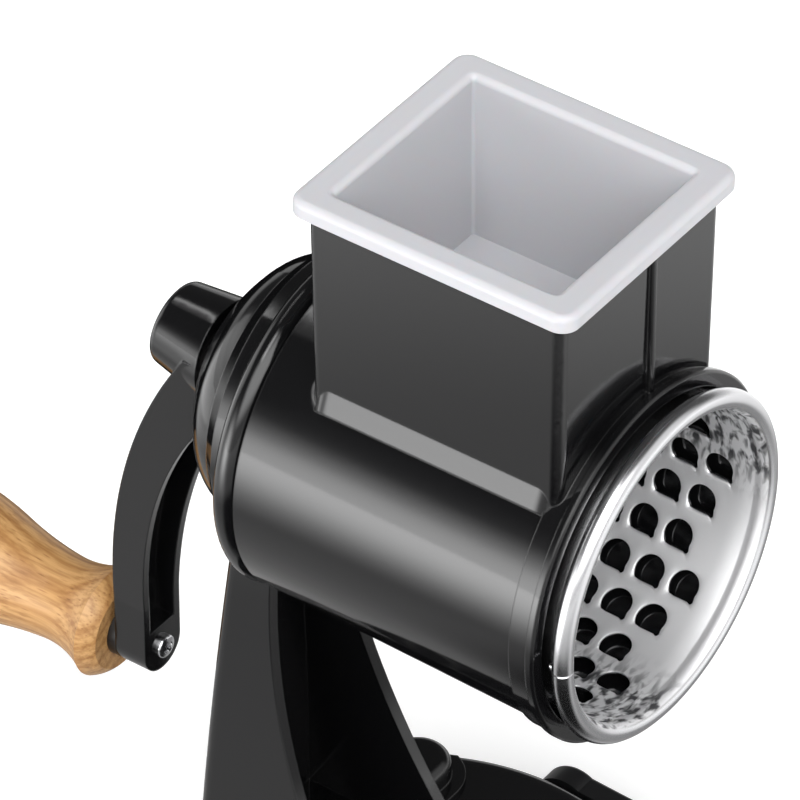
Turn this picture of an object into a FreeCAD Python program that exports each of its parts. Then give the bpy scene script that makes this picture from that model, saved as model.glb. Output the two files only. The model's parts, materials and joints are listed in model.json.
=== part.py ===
"""Hand-cranked rotary cabbage shredder, as a parametric FreeCAD document.

Frame: origin at the centre of the suction cup's flat underside, +Z up, +X towards the open
mouth of the cutting drum. Lengths are millimetres.
"""
import FreeCAD, Part
import math
import os
import re

import Sketcher
from FreeCAD import Placement, Rotation, Vector

# --------------------------------------------------------------------------------------
# Driving dimensions
# --------------------------------------------------------------------------------------
SIZES = [
    # base and suction cup
    ("base_radius", 71, "outer radius of the base shell at its rim"),
    ("base_height", 26, "deck of the base shell above the table"),
    ("base_wall", 3, "wall of the base shell"),
    ("base_draft", 1, "radius lost from rim to deck"),
    ("base_round", 5, "rounding of the deck's outer edge"),
    ("cup_rim", 3, "thickness of the rubber cup under the shell"),
    ("cup_lip", 0.6, "how far the rubber stands proud of the shell"),
    ("cup_upstand", 2, "height of the rubber wall inside the shell"),
    ("cup_band", 2.5, "thickness of the rubber wall inside the shell"),
    ("pad_radius", 24, "raised middle of the cup"),
    ("pad_height", 4, "top of the raised middle"),
    ("plate_radius", 19, "steel plate on the cup"),
    ("plate_thick", 1.6, "thickness of the steel plate"),
    ("tail_radius", 2.9, "riveted tail of the pull stud"),
    ("eye_height", 12, "middle of the pull stud's eye above the table"),
    ("eye_thick", 8, "pull stud along the lever's axis"),
    ("eye_web", 2, "metal above and beside the eye"),
    ("cam_radius", 2.8, "radius of the crank pin that lifts the stud"),
    ("cam_throw", 1.5, "offset of the crank pin, half of the lift"),
    ("cam_play", 0.5, "room for the crank pin in the eye"),
    ("rod_radius", 4.5, "radius of the lever's rod"),
    ("rib_inner", 21, "inner face of the rib that carries the rod"),
    ("rib_thick", 5, "thickness of that rib"),
    ("rib_half", 9, "half width of that rib"),
    ("rib_foot", 6.5, "foot of that rib above the table"),
    ("boss_radius", 8, "boss on the shell's wall around the rod"),
    ("boss_depth", 9, "length of that boss"),
    ("lever_gap", 0.9, "gap between shell and lever"),
    ("lever_thick", 8, "thickness of the lever"),
    ("lever_length", 50, "lever from hub to tip"),
    ("lever_hub", 10, "radius of the lever's hub"),
    ("lever_tip", 6.5, "radius of the lever's tip"),
    ("lever_web", 2.5, "hub wall outside the end of the rod"),
    # leg
    ("leg_back", 57.8, "back of the leg at the deck, behind the base centre"),
    ("leg_back_high", 51.2, "back of the leg at its top"),
    ("leg_front_low", -4, "front rim of the leg at the deck, behind the base centre"),
    ("leg_front_mid", 28.5, "front rim half way up"),
    ("leg_front_high", 36.3, "front rim at the top"),
    ("leg_mid", 91, "height at which the half-way sizes hold"),
    ("leg_half_low", 27, "half width at the deck"),
    ("leg_half_mid", 22.4, "half width half way up"),
    ("leg_half_high", 11.0, "half width at the top"),
    ("leg_wall", 3.8, "wall of the leg"),
    ("leg_corner", 4, "rounding of the leg's back corners"),
    ("leg_sink", 22, "top of the leg below the drum's axis"),
    ("foot_thick", 6, "floor plate of the leg"),
    ("ear_back", 33, "screw ears behind the base centre"),
    ("ear_inset", 24, "screw ears inside the base shell's rim, across the leg"),
    ("ear_radius", 9.5, "radius of a screw ear"),
    ("ear_height", 9, "height of a screw ear above the deck"),
    ("ear_round", 4, "rounding of an ear's top"),
    ("skirt_width", 4, "flat skirt around an ear"),
    ("skirt_thick", 1.6, "thickness of that skirt"),
    ("inner_side", 14, "inner pair of leg screws beside the middle plane"),
    ("screw_radius", 2, "leg and housing screws, radius of the thread"),
    ("screw_grip", 4.6, "thread length above the deck"),
    ("screw_head", 3.8, "head radius of those screws"),
    ("head_thick", 2.6, "head height of those screws"),
    ("screw_play", 0.2, "hole radius over the screw's"),
    # rear bearing housing, sizes from the drum's axis
    ("axis_height", 194, "drum axis above the table"),
    ("seat_behind", 24.3, "seat between housing and bearing ring, behind the base centre"),
    ("ring_radius", 49.5, "crest of the ring behind the barrel"),
    ("ring_round", 4, "radius of the ring's bead"),
    ("dome_root", 41.5, "radius of the dome next to the ring"),
    ("dome_middle", 37.8, "radius where the dome's shoulder starts"),
    ("dome_edge", 32.6, "radius where the dome's shoulder ends"),
    ("dome_back", 14, "radius of the dome's flat back"),
    ("dome_step", 12.7, "ring seat to dome root"),
    ("dome_shoulder", 17, "ring seat to the start of the shoulder"),
    ("dome_turn", 25.2, "ring seat to the end of the shoulder"),
    ("dome_depth", 36, "ring seat to the dome's flat back"),
    ("dome_rise", 3.2, "middle of the dome above the drum axis"),
    ("dome_ledge", 0.4, "least step from the ring in to the dome"),
    ("dome_bend", 17, "bend radius of the dome's shoulder"),
    ("dome_bow", 60, "bend radius of the dome behind its shoulder"),
    ("dome_wall", 3.5, "wall of the dome"),
    ("tube_radius", 11, "bearing tube inside the dome"),
    ("bush_radius", 8, "outer radius of the bushes"),
    ("bush_length", 13, "length of a bush"),
    ("bush_flange", 10.5, "radius of a bush's flange"),
    ("bush_rim", 1.5, "thickness of a bush's flange"),
    ("run_play", 0.06, "radial play of a shaft in its bush"),
    # barrel and hopper
    ("bead_ahead", 80, "plane of the drum's bead ahead of the base centre"),
    ("lip_gap", 5.75, "front face of the barrel behind the bead plane"),
    ("barrel_front", 50.7, "outer radius of the barrel behind its collar"),
    ("barrel_rear", 48.85, "outer radius of the barrel at its rear end"),
    ("collar_radius", 51.7, "radius of the collar at the mouth"),
    ("collar_length", 8.2, "length of the collar with its lip"),
    ("lip_radius", 52.6, "radius of the thin lip"),
    ("lip_thick", 2.4, "thickness of the thin lip"),
    ("bore_front", 48.3, "inner radius of the barrel at its mouth"),
    ("bore_rear", 46.9, "inner radius of the barrel at its rear wall"),
    ("rear_wall", 3.5, "rear wall of the barrel"),
    ("rear_hole", 13, "hole in the rear wall"),
    ("fit_gap", 0.2, "gap of a located ring or a slip fit"),
    ("housing_pcd", 36.5, "housing screws from the drum's axis"),
    ("pad_boss", 5.6, "radius of the screw pads in the bearing ring"),
    ("pad_boss_length", 14, "length of those pads"),
    ("hopper_mid", 30.5, "middle of the hopper ahead of the base centre"),
    ("hopper_length", 79.6, "hopper along the drum's axis, outside"),
    ("hopper_width", 71.4, "hopper across the drum's axis, outside"),
    ("hopper_rise", 98.8, "rim of the hopper above the drum's axis"),
    ("hopper_wall", 2.5, "wall of the hopper"),
    ("hopper_corner", 3, "outer rounding of the hopper's corners"),
    ("hopper_taper", 0.57, "draft of the hopper's walls in degrees"),
    ("hopper_hollow", 3, "hollow rounding between hopper and barrel"),
    ("flare_top", 42.3, "top of the hopper's flared foot above the drum's axis"),
    ("flare_foot", 36.4, "lower edge of that foot above the drum's axis"),
    ("flare_slope", 22.5, "slope of that foot from upright, in degrees"),
    ("flare_corner", 6.5, "rounding of that foot's corners"),
    ("rib_width", 2.2, "upright rib on the hopper's front"),
    ("rib_proud", 1.3, "how far that rib stands out"),
    ("rib_side", 4.6, "that rib beside the middle plane"),
    ("rib_round", 1, "rounding of that rib"),
    # pusher
    ("pusher_gap", 0.6, "gap between pusher and hopper, each side"),
    ("pusher_wall", 2, "wall of the pusher"),
    ("pusher_floor", 2, "floor of the pusher"),
    ("pusher_depth", 48, "pusher below the hopper's rim"),
    ("pusher_taper", 1, "draft of the pusher's walls in degrees"),
    ("seat_gap", 0.3, "gap under a piece that rests on another"),
    ("rim_height", 4.9, "thickness of the pusher's rim"),
    ("rim_over_x", 4.0, "overhang of the rim along the drum's axis"),
    ("rim_over_y", 3.4, "overhang of the rim across the drum's axis"),
    ("rim_corner", 5, "rounding of the rim's corners"),
    ("rim_round", 2, "rounding of the rim's top edges"),
    # drum
    ("drum_inner", 44.6, "inner radius of the drum's sheet"),
    ("drum_sheet", 0.7, "thickness of the sheet"),
    ("drum_length", 98.5, "bead plane to the drum's rear end"),
    ("bead_outer", 50, "outer radius of the rolled bead"),
    ("bead_round", 2.9, "radius of the rolled bead"),
    ("hole_radius", 4.35, "radius of a cutting hole"),
    ("hole_first", 13.5, "bead plane to the first holes"),
    ("hole_pitch", 11.1, "hole pitch along the drum"),
    ("hole_rows", 24, "rows of holes around the drum"),
    ("hole_columns", 7, "holes in each row"),
    ("hole_phases", 3, "rows after which the stagger repeats"),
    ("hole_turn", -4.3, "turn of the first row of holes, in degrees"),
    ("plain_band", 6, "plain sheet kept in front of the drum's rear end"),
    ("tab_size", 2.4, "seam tab behind the bead"),
    ("seam_angle", 205, "place of the seam around the drum, from +Y towards +Z, in degrees"),
    ("back_sheet", 1.2, "thickness of the drum's back plate"),
    ("back_flange", 6, "flange of the back plate inside the sheet"),
    ("hub_flange", 19, "radius of the drum hub's flange"),
    ("hub_plate", 3, "thickness of the drum hub's flange"),
    ("hub_radius", 10, "radius of the drum hub"),
    ("hub_length", 20, "length of the drum hub"),
    ("hub_floor", 2.5, "closed end of the drum hub"),
    ("rivet_circle", 14.5, "drum rivets from the axis"),
    ("rivet_radius", 1.6, "radius of a drum rivet"),
    ("rivet_head", 3, "head radius of a drum rivet"),
    ("rivet_dome", 1.2, "head height of a drum rivet"),
    # drive shaft and crank
    ("shaft_radius", 5, "radius of the drive shaft"),
    ("square_side", 7, "side of the square ends"),
    ("square_rear", 10, "length of the rear square inside the crank"),
    ("clip_radius", 8, "outer radius of the retaining ring"),
    ("clip_thick", 1, "thickness of the retaining ring"),
    ("clip_groove", 0.8, "depth of its groove"),
    ("crank_hub_end", 12, "radius of the crank hub's closed end"),
    ("crank_hub_front", 15.4, "radius of the crank hub just ahead of its open face"),
    ("crank_hub_length", 18.2, "length of the crank hub"),
    ("crank_hub_lead", 3, "hub cone cut away ahead of its open face"),
    ("crank_hub_rise", 4.5, "middle of the hub above the drum axis, at the start of its cone"),
    ("crank_hub_tilt", 6.3, "rise of the hub towards its closed end, in degrees"),
    ("crank_hub_round", 2.5, "rounding of its closed end"),
    ("crank_gap", 0.3, "gap between crank hub and bush"),
    ("crank_thread", 2.5, "radius of the grub screw in the hub"),
    ("crank_screw_head", 1.4, "radius of the recess in the grub screw"),
    ("crank_screw_length", 8, "length of the grub screw"),
    ("crank_screw_at", 5.5, "hub face to the grub screw"),
    ("crank_radius", 112.5, "drum axis to grip axis"),
    ("arm_outer", 97.3, "outer face of the arm behind the base centre"),
    ("arm_thick", 10.5, "thickness of the arm's straight end"),
    ("arm_bend_outer", 190, "bend radius of the arm's outer face"),
    ("arm_bend_inner", 145, "bend radius of the arm's inner face"),
    ("arm_straight", 17.5, "straight part of the arm above the grip axis"),
    ("arm_end", 8, "half width of the arm's end"),
    ("arm_root", 14.3, "half width of the arm at the hub"),
    ("arm_root_rise", 8.2, "height of the arm's root above the drum axis"),
    ("pocket_rim", 2.6, "rim around the hollow in the arm's face"),
    ("pocket_floor", 4, "metal behind the hollow"),
    ("pocket_boss", 7.5, "solid metal around the handle screw"),
    ("pocket_top", 24, "top of the hollow below the drum axis"),
    # grip
    ("spacer_length", 3.2, "collar between arm and grip"),
    ("spacer_radius", 8, "radius of that collar"),
    ("spindle_radius", 4, "radius of the grip's spindle"),
    ("spindle_thread", 16, "depth of the thread in the spindle"),
    ("handle_screw_radius", 2, "thread radius of the handle screw"),
    ("handle_screw_head", 3.5, "head radius of the handle screw"),
    ("handle_head_rise", 2.2, "head height of the handle screw"),
    ("grip_length", 96, "length of the wooden grip"),
    ("grip_face", 13, "radius of the grip's inner face"),
    ("grip_flare", 16.9, "radius of its flare"),
    ("grip_neck", 12.6, "radius of its neck"),
    ("grip_belly", 19.8, "radius of its belly"),
    ("grip_tail", 10, "radius of its rounded end"),
    ("flare_at", 4.6, "inner face to flare"),
    ("neck_at", 21, "inner face to neck"),
    ("belly_at", 64, "inner face to belly"),
    ("plug_radius", 8.5, "wooden plug in the grip's end"),
    ("plug_length", 4, "length of that plug"),
    ("plug_gap", 0.02, "gap around that plug"),
    ("spindle_head", 7, "radius of the spindle's head"),
    ("spindle_head_thick", 2.5, "thickness of the spindle's head"),
    ("grip_washer_thick", 1, "washer under the spindle's head"),
    ("head_room", 1, "room between spindle head and plug"),
]

doc = FreeCAD.newDocument("CabbageShredder")
sheet = doc.addObject("Spreadsheet::Sheet", "Sizes")
for row, (alias, value, note) in enumerate(SIZES, start=1):
    sheet.set(f"A{row}", note)
    sheet.set(f"B{row}", str(value))
    sheet.setAlias(f"B{row}", alias)
doc.recompute()

ALIASES = {alias for alias, value, note in SIZES}
FULL_TURN = 360.0
ALONG = {
    "x": Rotation(Vector(0, 1, 0), 90),
    "y": Rotation(Vector(1, 0, 0), -90),
    "z": Rotation(),
}


# --------------------------------------------------------------------------------------
# Helpers
# --------------------------------------------------------------------------------------
def cell(text):
    """Turn the size names in a formula into references to the sheet."""
    return re.sub(r"[a-z]\w*", lambda m: "Sizes." + m[0] if m[0] in ALIASES else m[0], str(text))


def size(text):
    """Value of a formula of size names."""
    return float(sheet.evalExpression(cell(text)))


def tie(item, prop, text):
    """Bind a property to a formula of size names."""
    item.setExpression(prop, cell(text))


def place(item, at=("0", "0", "0"), rotation=None):
    """Turn an object and bind its position."""
    item.Placement = Placement(Vector(*[size(c) for c in at]), rotation or Rotation())
    for axis, text in zip("xyz", at):
        tie(item, f"Placement.Base.{axis}", text)


def cylinder(name, radius, length, at=("0", "0", "0"), along="z"):
    item = doc.addObject("Part::Cylinder", name)
    tie(item, "Radius", radius)
    tie(item, "Height", length)
    place(item, at, ALONG[along])
    return item


def block(name, lengths, at=("0", "0", "0")):
    """Box from its lowest corner."""
    item = doc.addObject("Part::Box", name)
    for prop, text in zip(("Length", "Width", "Height"), lengths):
        tie(item, prop, text)
    place(item, at)
    return item


def fuse(name, items):
    item = doc.addObject("Part::MultiFuse", name)
    item.Shapes = items
    return item


def cut(name, base, tool):
    item = doc.addObject("Part::Cut", name)
    item.Base = base
    item.Tool = tool
    return item


def common(name, items):
    item = doc.addObject("Part::MultiCommon", name)
    item.Shapes = items
    return item


def group(name, items):
    item = doc.addObject("Part::Compound", name)
    item.Links = items
    return item


def origin_plane(body, role):
    return next(part for part in body.Origin.OriginFeatures if part.Role == role)


def bend_middle(start, end, radius):
    """Middle point of the short arc from start to end; a positive radius turns left."""
    chord = end - start
    sagitta = abs(radius) - math.sqrt(max(radius * radius - chord.Length ** 2 / 4, 0))
    side = Vector(chord.y, -chord.x, 0).normalize()
    return (start + end) / 2 + side * math.copysign(sagitta, radius)


def outline(body, role, path, shift="0"):
    """Closed sketch on an origin plane, with every corner and radius bound to the sheet.

    path holds (x, y) or (x, y, r): r makes the side that ends there an arc, left-turning
    where positive.
    """
    sketch = body.newObject("Sketcher::SketchObject", body.Name + "_outline")
    sketch.AttachmentSupport = [(origin_plane(body, role), "")]
    sketch.MapMode = "FlatFace"
    if shift != "0":
        tie(sketch, "AttachmentOffset.Base.z", shift)
    points = [Vector(size(entry[0]), size(entry[1]), 0) for entry in path]
    count = len(path)
    for index in range(count):
        start = points[index]
        end = points[(index + 1) % count]
        entry = path[(index + 1) % count]
        if len(entry) == 2:
            sketch.addGeometry(Part.LineSegment(start, end), False)
        else:
            middle = bend_middle(start, end, size(entry[2]))
            sketch.addGeometry(Part.Arc(start, middle, end), False)
    # an arc is stored counter-clockwise, so a right-turning one starts at its path's end
    first_end = []
    for index in range(count):
        entry = path[(index + 1) % count]
        turned = len(entry) == 3 and size(entry[2]) < 0
        first_end.append((2, 1) if turned else (1, 2))
    for index in range(count):
        following = (index + 1) % count
        sketch.addConstraint(Sketcher.Constraint(
            "Coincident", index, first_end[index][1], following, first_end[following][0]))
    for index, entry in enumerate(path):
        for kind, text, value in (("DistanceX", entry[0], points[index].x),
                                  ("DistanceY", entry[1], points[index].y)):
            number = sketch.addConstraint(
                Sketcher.Constraint(kind, -1, 1, index, first_end[index][0], value))
            if text != "0":
                tie(sketch, f"Constraints[{number}]", text)
    for index in range(count):
        entry = path[(index + 1) % count]
        if len(entry) == 3:
            number = sketch.addConstraint(Sketcher.Constraint("Radius", index, abs(size(entry[2]))))
            tie(sketch, f"Constraints[{number}]", f"abs({entry[2]})")
    return sketch


def new_body(name):
    return doc.addObject("PartDesign::Body", name)


def turned(name, path, axis="H_Axis", at=("0", "0", "0")):
    """Body of revolution from an outline in the XZ plane."""
    body = new_body(name)
    sketch = outline(body, "XZ_Plane", path)
    feature = body.newObject("PartDesign::Revolution", name + "_revolution")
    feature.Profile = sketch
    feature.ReferenceAxis = (sketch, [axis])
    feature.Angle = FULL_TURN
    sketch.Visibility = False
    place(body, at)
    return body


def prism(name, role, path, length, at=("0", "0", "0")):
    """Body padded to both sides of an origin plane."""
    body = new_body(name)
    sketch = outline(body, role, path)
    feature = body.newObject("PartDesign::Pad", name + "_pad")
    feature.Profile = sketch
    feature.Midplane = True
    tie(feature, "Length", length)
    place(body, at)
    return body


def edge_names(shape, wanted):
    """Names of the edges for which wanted(edge) holds."""
    return [f"Edge{number}" for number, edge in enumerate(shape.Edges, start=1) if wanted(edge)]


def rounded(name, base, radius, wanted):
    """Part fillet of the chosen edges, all to one radius."""
    doc.recompute()
    item = doc.addObject("Part::Fillet", name)
    item.Base = base
    value = size(radius)
    item.Edges = [(int(edge[4:]), value, value) for edge in edge_names(base.Shape, wanted)]
    return item


def is_upright(edge):
    """Whether an edge runs nearly straight up."""
    box = edge.BoundBox
    return box.ZLength > 5 * max(box.XLength, box.YLength)


AXIS = ("0", "0", "axis_height")
EAR_SIDE = "(base_radius - ear_inset)"


# --------------------------------------------------------------------------------------
# Base: shell, rubber cup, pull stud and lever
# --------------------------------------------------------------------------------------
def lever_height():
    return "(eye_height + cam_throw)"


def make_base_shell():
    top = "base_radius - base_draft"
    shell = turned("base_bowl", [
        ("base_radius - base_wall", "cup_rim"),
        ("base_radius", "cup_rim"),
        (top, "base_height - base_round"),
        (top + " - base_round", "base_height", "base_round"),
        ("0", "base_height"),
        ("0", "base_height - base_wall"),
        (top + " - base_wall", "base_height - base_wall"),
    ], axis="V_Axis")
    rib = block("rod_rib", ("2 * rib_half", "rib_thick", "base_height - base_wall / 2 - rib_foot"),
                ("-rib_half", "rib_inner", "rib_foot"))
    boss = cylinder("rod_boss", "boss_radius", "boss_depth",
                    ("0", "base_radius - base_wall / 2 - boss_depth", lever_height()), "y")
    bore = cylinder("rod_bore", "rod_radius + run_play", "base_radius",
                    ("0", "rib_inner - 1", lever_height()), "y")
    holes = [cylinder(f"deck_hole_{number}", "screw_radius + screw_play", "3 * base_wall",
                      (x, y, "base_height - 2 * base_wall"))
             for number, (x, y) in enumerate(LEG_SCREWS, start=1)]
    body = fuse("base_solid", [shell, rib, boss])
    cut("base_shell", body, fuse("base_holes", [bore] + holes))


LEG_SCREWS = [
    ("-ear_back", EAR_SIDE),
    ("-ear_back", "-" + EAR_SIDE),
    ("-ear_back", "inner_side"),
    ("-ear_back", "-inner_side"),
]


def make_suction_cup():
    rim = "base_radius + cup_lip"
    wall = "base_radius - base_wall - cup_lip"
    turned("suction_cup", [
        ("0", "0"),
        (rim + " - cup_rim / 3", "0"),
        (rim, "cup_rim / 3"),
        (rim, "cup_rim"),
        (wall, "cup_rim"),
        (wall, "cup_rim + cup_upstand"),
        (wall + " - cup_band", "cup_rim + cup_upstand"),
        (wall + " - cup_band", "cup_rim"),
        ("pad_radius", "cup_rim"),
        ("pad_radius - 1", "pad_height"),
        ("0", "pad_height"),
    ], axis="V_Axis")


def make_pull_stud():
    plate = cylinder("plate_disc", "plate_radius", "plate_thick",
                     ("0", "0", "pad_height + seat_gap"))
    hole = cylinder("plate_hole", "tail_radius", "plate_thick",
                    ("0", "0", "pad_height + seat_gap"))
    cut("cup_plate", plate, hole)
    slot_half = "(cam_throw + cam_radius + cam_play)"
    eye_half = "(cam_throw + cam_radius + cam_play + eye_web)"
    foot = "(pad_height + seat_gap + plate_thick)"
    top = "(eye_height + cam_radius + cam_play + eye_web)"
    eye = block("stud_block", (f"2 * {eye_half}", "eye_thick", f"{top} - {foot}"),
                (f"-{eye_half}", "-eye_thick / 2", foot))
    tail = cylinder("stud_tail", "tail_radius", "plate_thick + 1",
                    ("0", "0", "pad_height + seat_gap"))
    slot = block("stud_slot", (f"2 * {slot_half}", "2 * eye_thick", "2 * (cam_radius + cam_play)"),
                 (f"-{slot_half}", "-eye_thick", "eye_height - cam_radius - cam_play"))
    cut("pull_stud", fuse("stud_solid", [eye, tail]), slot)


def make_lever():
    hub_from = "(base_radius + lever_gap)"
    rod_end = "(base_radius + lever_gap + lever_thick - lever_web)"
    pin_half = "(eye_thick / 2 + 1.5)"
    pin = cylinder("crank_pin", "cam_radius", f"2 * {pin_half}",
                   ("0", f"-{pin_half}", "eye_height"), "y")
    rod = cylinder("rod_bar", "rod_radius", f"{rod_end} - {pin_half}",
                   ("0", pin_half, lever_height()), "y")
    thread = cylinder("rod_thread", "screw_radius", "screw_grip * 2",
                      ("0", f"{rod_end} - screw_grip * 2", lever_height()), "y")
    cut("lever_rod", fuse("rod_solid", [pin, rod]), thread)

    hub = cylinder("lever_hub_disc", "lever_hub", "lever_thick",
                   ("0", hub_from, lever_height()), "y")
    tip = cylinder("lever_tip_disc", "lever_tip", "lever_thick",
                   ("lever_length", hub_from, lever_height()), "y")
    arm = prism("lever_arm_plate", "XZ_Plane", [
        ("0", "-lever_hub * 0.9"),
        ("lever_length", "-lever_tip"),
        ("lever_length", "lever_tip"),
        ("0", "lever_hub * 0.9"),
    ], "lever_thick", ("0", f"{hub_from} + lever_thick / 2", lever_height()))
    socket = cylinder("lever_socket", "rod_radius + fit_gap / 4", "lever_thick - lever_web",
                      ("0", hub_from, lever_height()), "y")
    hole = cylinder("lever_hole", "screw_radius + screw_play", "2 * lever_thick",
                    ("0", hub_from, lever_height()), "y")
    blank = fuse("lever_blank", [hub, tip, arm])
    soft = rounded("lever_soft", blank, "lever_thick / 4",
                   lambda edge: edge.BoundBox.YMin > size(hub_from) + size("lever_thick") - 0.01)
    cut("suction_lever", soft, fuse("lever_cuts", [socket, hole]))

    head = cylinder("lever_screw_head", "screw_head", "head_thick",
                    ("0", f"{hub_from} + lever_thick", lever_height()), "y")
    shank = cylinder("lever_screw_shank", "screw_radius - screw_play / 4",
                     "lever_web + screw_grip", ("0", f"{rod_end} - screw_grip", lever_height()), "y")
    fuse("lever_screw", [head, shank])


# --------------------------------------------------------------------------------------
# Stand: hollow leg, bearing ring and dome in one casting
# --------------------------------------------------------------------------------------
LEG_TOP = "(axis_height - leg_sink)"


def leg_side(name, inset, ahead):
    """Side view of the leg: a straight back and a front rim that bows with one arc."""
    low = (f"-leg_front_low + {ahead}", "base_height")
    high = (f"-leg_front_high + {ahead}", LEG_TOP)
    bow = arc_radius(low, (f"-leg_front_mid + {ahead}", "leg_mid"), high)
    return prism(name, "XZ_Plane", [
        (f"-leg_back + {inset}", "base_height"),
        low,
        (high[0], high[1], bow),
        (f"-leg_back_high + {inset}", LEG_TOP),
    ], f"2 * {EAR_SIDE}")


def leg_front(name, inset, floor):
    """Front view of the leg: both sides flare towards the base with one arc each."""
    low = (f"leg_half_low - {inset}", floor)
    middle = (f"leg_half_mid - {inset}", "leg_mid")
    high = (f"leg_half_high - {inset}", LEG_TOP)
    bow = arc_radius(low, middle, high)
    return prism(name, "YZ_Plane", [
        ("-(" + low[0] + ")", floor, bow),
        low,
        (high[0], high[1], bow),
        ("-(" + high[0] + ")", high[1]),
    ], "4 * leg_back")


def arc_radius(start, middle, end):
    """Signed radius of the arc through three points given as formulas."""
    a, b, c = (Vector(size(p[0]), size(p[1]), 0) for p in (start, middle, end))
    turn = (b - a).cross(c - b).z
    radius = (a - b).Length * (b - c).Length * (c - a).Length / (2 * abs((b - a).cross(c - a).z))
    return str(round(math.copysign(radius, turn), 6))


def dome_path(inset):
    """Profile of the dome behind the ring, from the seat plane back (x) and outwards (y)."""
    seat = "-seat_behind"
    return [
        (seat, "0"),
        (f"{seat} - dome_depth + {inset}", "0"),
        (f"{seat} - dome_depth + {inset}", f"dome_back - {inset} / 2"),
        (f"{seat} - dome_turn + {inset} / 2", f"dome_edge - {inset} / 2", "-dome_bow"),
        (f"{seat} - dome_shoulder", f"dome_middle - {inset}", f"-dome_bend + {inset}"),
        (f"{seat} - dome_step", f"dome_root - {inset}"),
        (f"{seat} - 2 * ring_round", f"ring_radius - ring_round - dome_rise - dome_ledge - {inset}"),
        (seat, f"ring_radius - ring_round - dome_rise - dome_ledge - {inset}"),
    ]


def ring_path(inset):
    """Profile of the ring: a bead on a short collar."""
    return [
        ("-seat_behind", "0"),
        ("-seat_behind - 2 * ring_round", "0"),
        ("-seat_behind - 2 * ring_round", f"ring_radius - ring_round - {inset}"),
    ]


def make_stand():
    outer = common("leg_outer", [leg_side("leg_side_outer", "0", "0"),
                                 leg_front("leg_front_outer", "0", "base_height")])
    soft = rounded("leg_soft", outer, "leg_corner",
                   lambda edge: edge.BoundBox.XMax < -size("leg_back_high") + 0.01
                   and edge.BoundBox.ZLength > size("leg_mid"))
    hollow = common("leg_hollow", [
        leg_side("leg_side_inner", "leg_wall", "leg_back"),
        leg_front("leg_front_inner", "leg_wall", "base_height + foot_thick")])
    channel = cut("leg_channel", soft, hollow)

    raised = ("0", "0", "axis_height + dome_rise")
    ring = turned("ring_solid", ring_path("0") + [
        ("-seat_behind", "ring_radius - ring_round", "-ring_round"),
    ], at=AXIS)
    dome = fuse("dome_solid", [ring, turned("dome_outer", dome_path("0"), at=raised)])
    cavity = turned("dome_inner", dome_path("dome_wall"), at=raised)
    tube = cylinder("bearing_tube", "tube_radius", "dome_depth - bush_rim",
                    ("-seat_behind - dome_depth", "0", "axis_height"), "x")
    bore = cylinder("bearing_bore", "bush_radius", "2 * dome_depth",
                    ("-seat_behind - dome_depth - 1", "0", "axis_height"), "x")

    parts = []
    for number, sign in enumerate(("", "-"), start=1):
        centre = ("-ear_back", sign + EAR_SIDE)
        ear = cylinder(f"ear_post_{number}", "ear_radius", "ear_height", centre + ("base_height",))
        start = "0" if sign == "" else "-" + EAR_SIDE
        web = block(f"ear_web_{number}", ("2 * ear_radius", EAR_SIDE, "ear_height"),
                    ("-ear_back - ear_radius", start, "base_height"))
        parts += [ear, web]
    ears = rounded("ears_soft", fuse("ears_solid", parts), "ear_round",
                   lambda edge: edge.BoundBox.ZMin > size("base_height + ear_height") - 0.01)
    skirts = []
    for number, sign in enumerate(("", "-"), start=1):
        centre = ("-ear_back", sign + EAR_SIDE)
        disc = cylinder(f"skirt_disc_{number}", "ear_radius + skirt_width", "skirt_thick",
                        centre + ("base_height",))
        start = "0" if sign == "" else "-" + EAR_SIDE
        strip = block(f"skirt_strip_{number}",
                      ("2 * (ear_radius + skirt_width)", EAR_SIDE, "skirt_thick"),
                      ("-ear_back - ear_radius - skirt_width", start, "base_height"))
        skirts += [disc, strip]
    deck = cylinder("deck_disc", "base_radius - base_draft - base_round + 1", "2 * ear_height",
                    ("0", "0", "base_height"))
    feet = common("ears_on_deck", [fuse("ears_all", [ears] + skirts), deck])
    ears_only = cut("ears_open", feet, hollow)

    shell = cut("stand_shell", fuse("stand_blank", [channel, dome, ears_only]), cavity)
    threads = [cylinder(f"leg_thread_{number}", "screw_radius", "screw_grip",
                        (x, y, "base_height"))
               for number, (x, y) in enumerate(LEG_SCREWS, start=1)]
    pads = []
    for number, place_at in enumerate(ring_places("housing_pcd"), start=1):
        pads.append(cylinder(f"housing_pad_{number}", "pad_boss", "pad_boss_length",
                             ("-seat_behind - pad_boss_length",) + place_at, "x"))
        threads.append(cylinder(f"housing_thread_{number}", "screw_radius", "3 * screw_grip",
                                ("-seat_behind - 3 * screw_grip",) + place_at, "x"))
    solid = fuse("stand_solid", [shell, tube] + pads)
    cut("stand_leg", solid, fuse("stand_bores", [bore] + threads))

    screws = []
    for number, (x, y) in enumerate(LEG_SCREWS, start=1):
        head = cylinder(f"leg_screw_head_{number}", "screw_head", "head_thick",
                        (x, y, "base_height - base_wall - head_thick"))
        shank = cylinder(f"leg_screw_shank_{number}", "screw_radius - screw_play / 4",
                         "base_wall + screw_grip - 0.3", (x, y, "base_height - base_wall"))
        screws.append(fuse(f"leg_screw_{number}", [head, shank]))
    group("leg_screws", screws)


def ring_places(radius):
    """Three places around the drum's axis as (y, z) formulas, the first straight up."""
    return [
        ("0", f"axis_height + {radius}"),
        (f"{radius} * cos(30deg)", f"axis_height - {radius} * sin(30deg)"),
        (f"-{radius} * cos(30deg)", f"axis_height - {radius} * sin(30deg)"),
    ]


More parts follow.
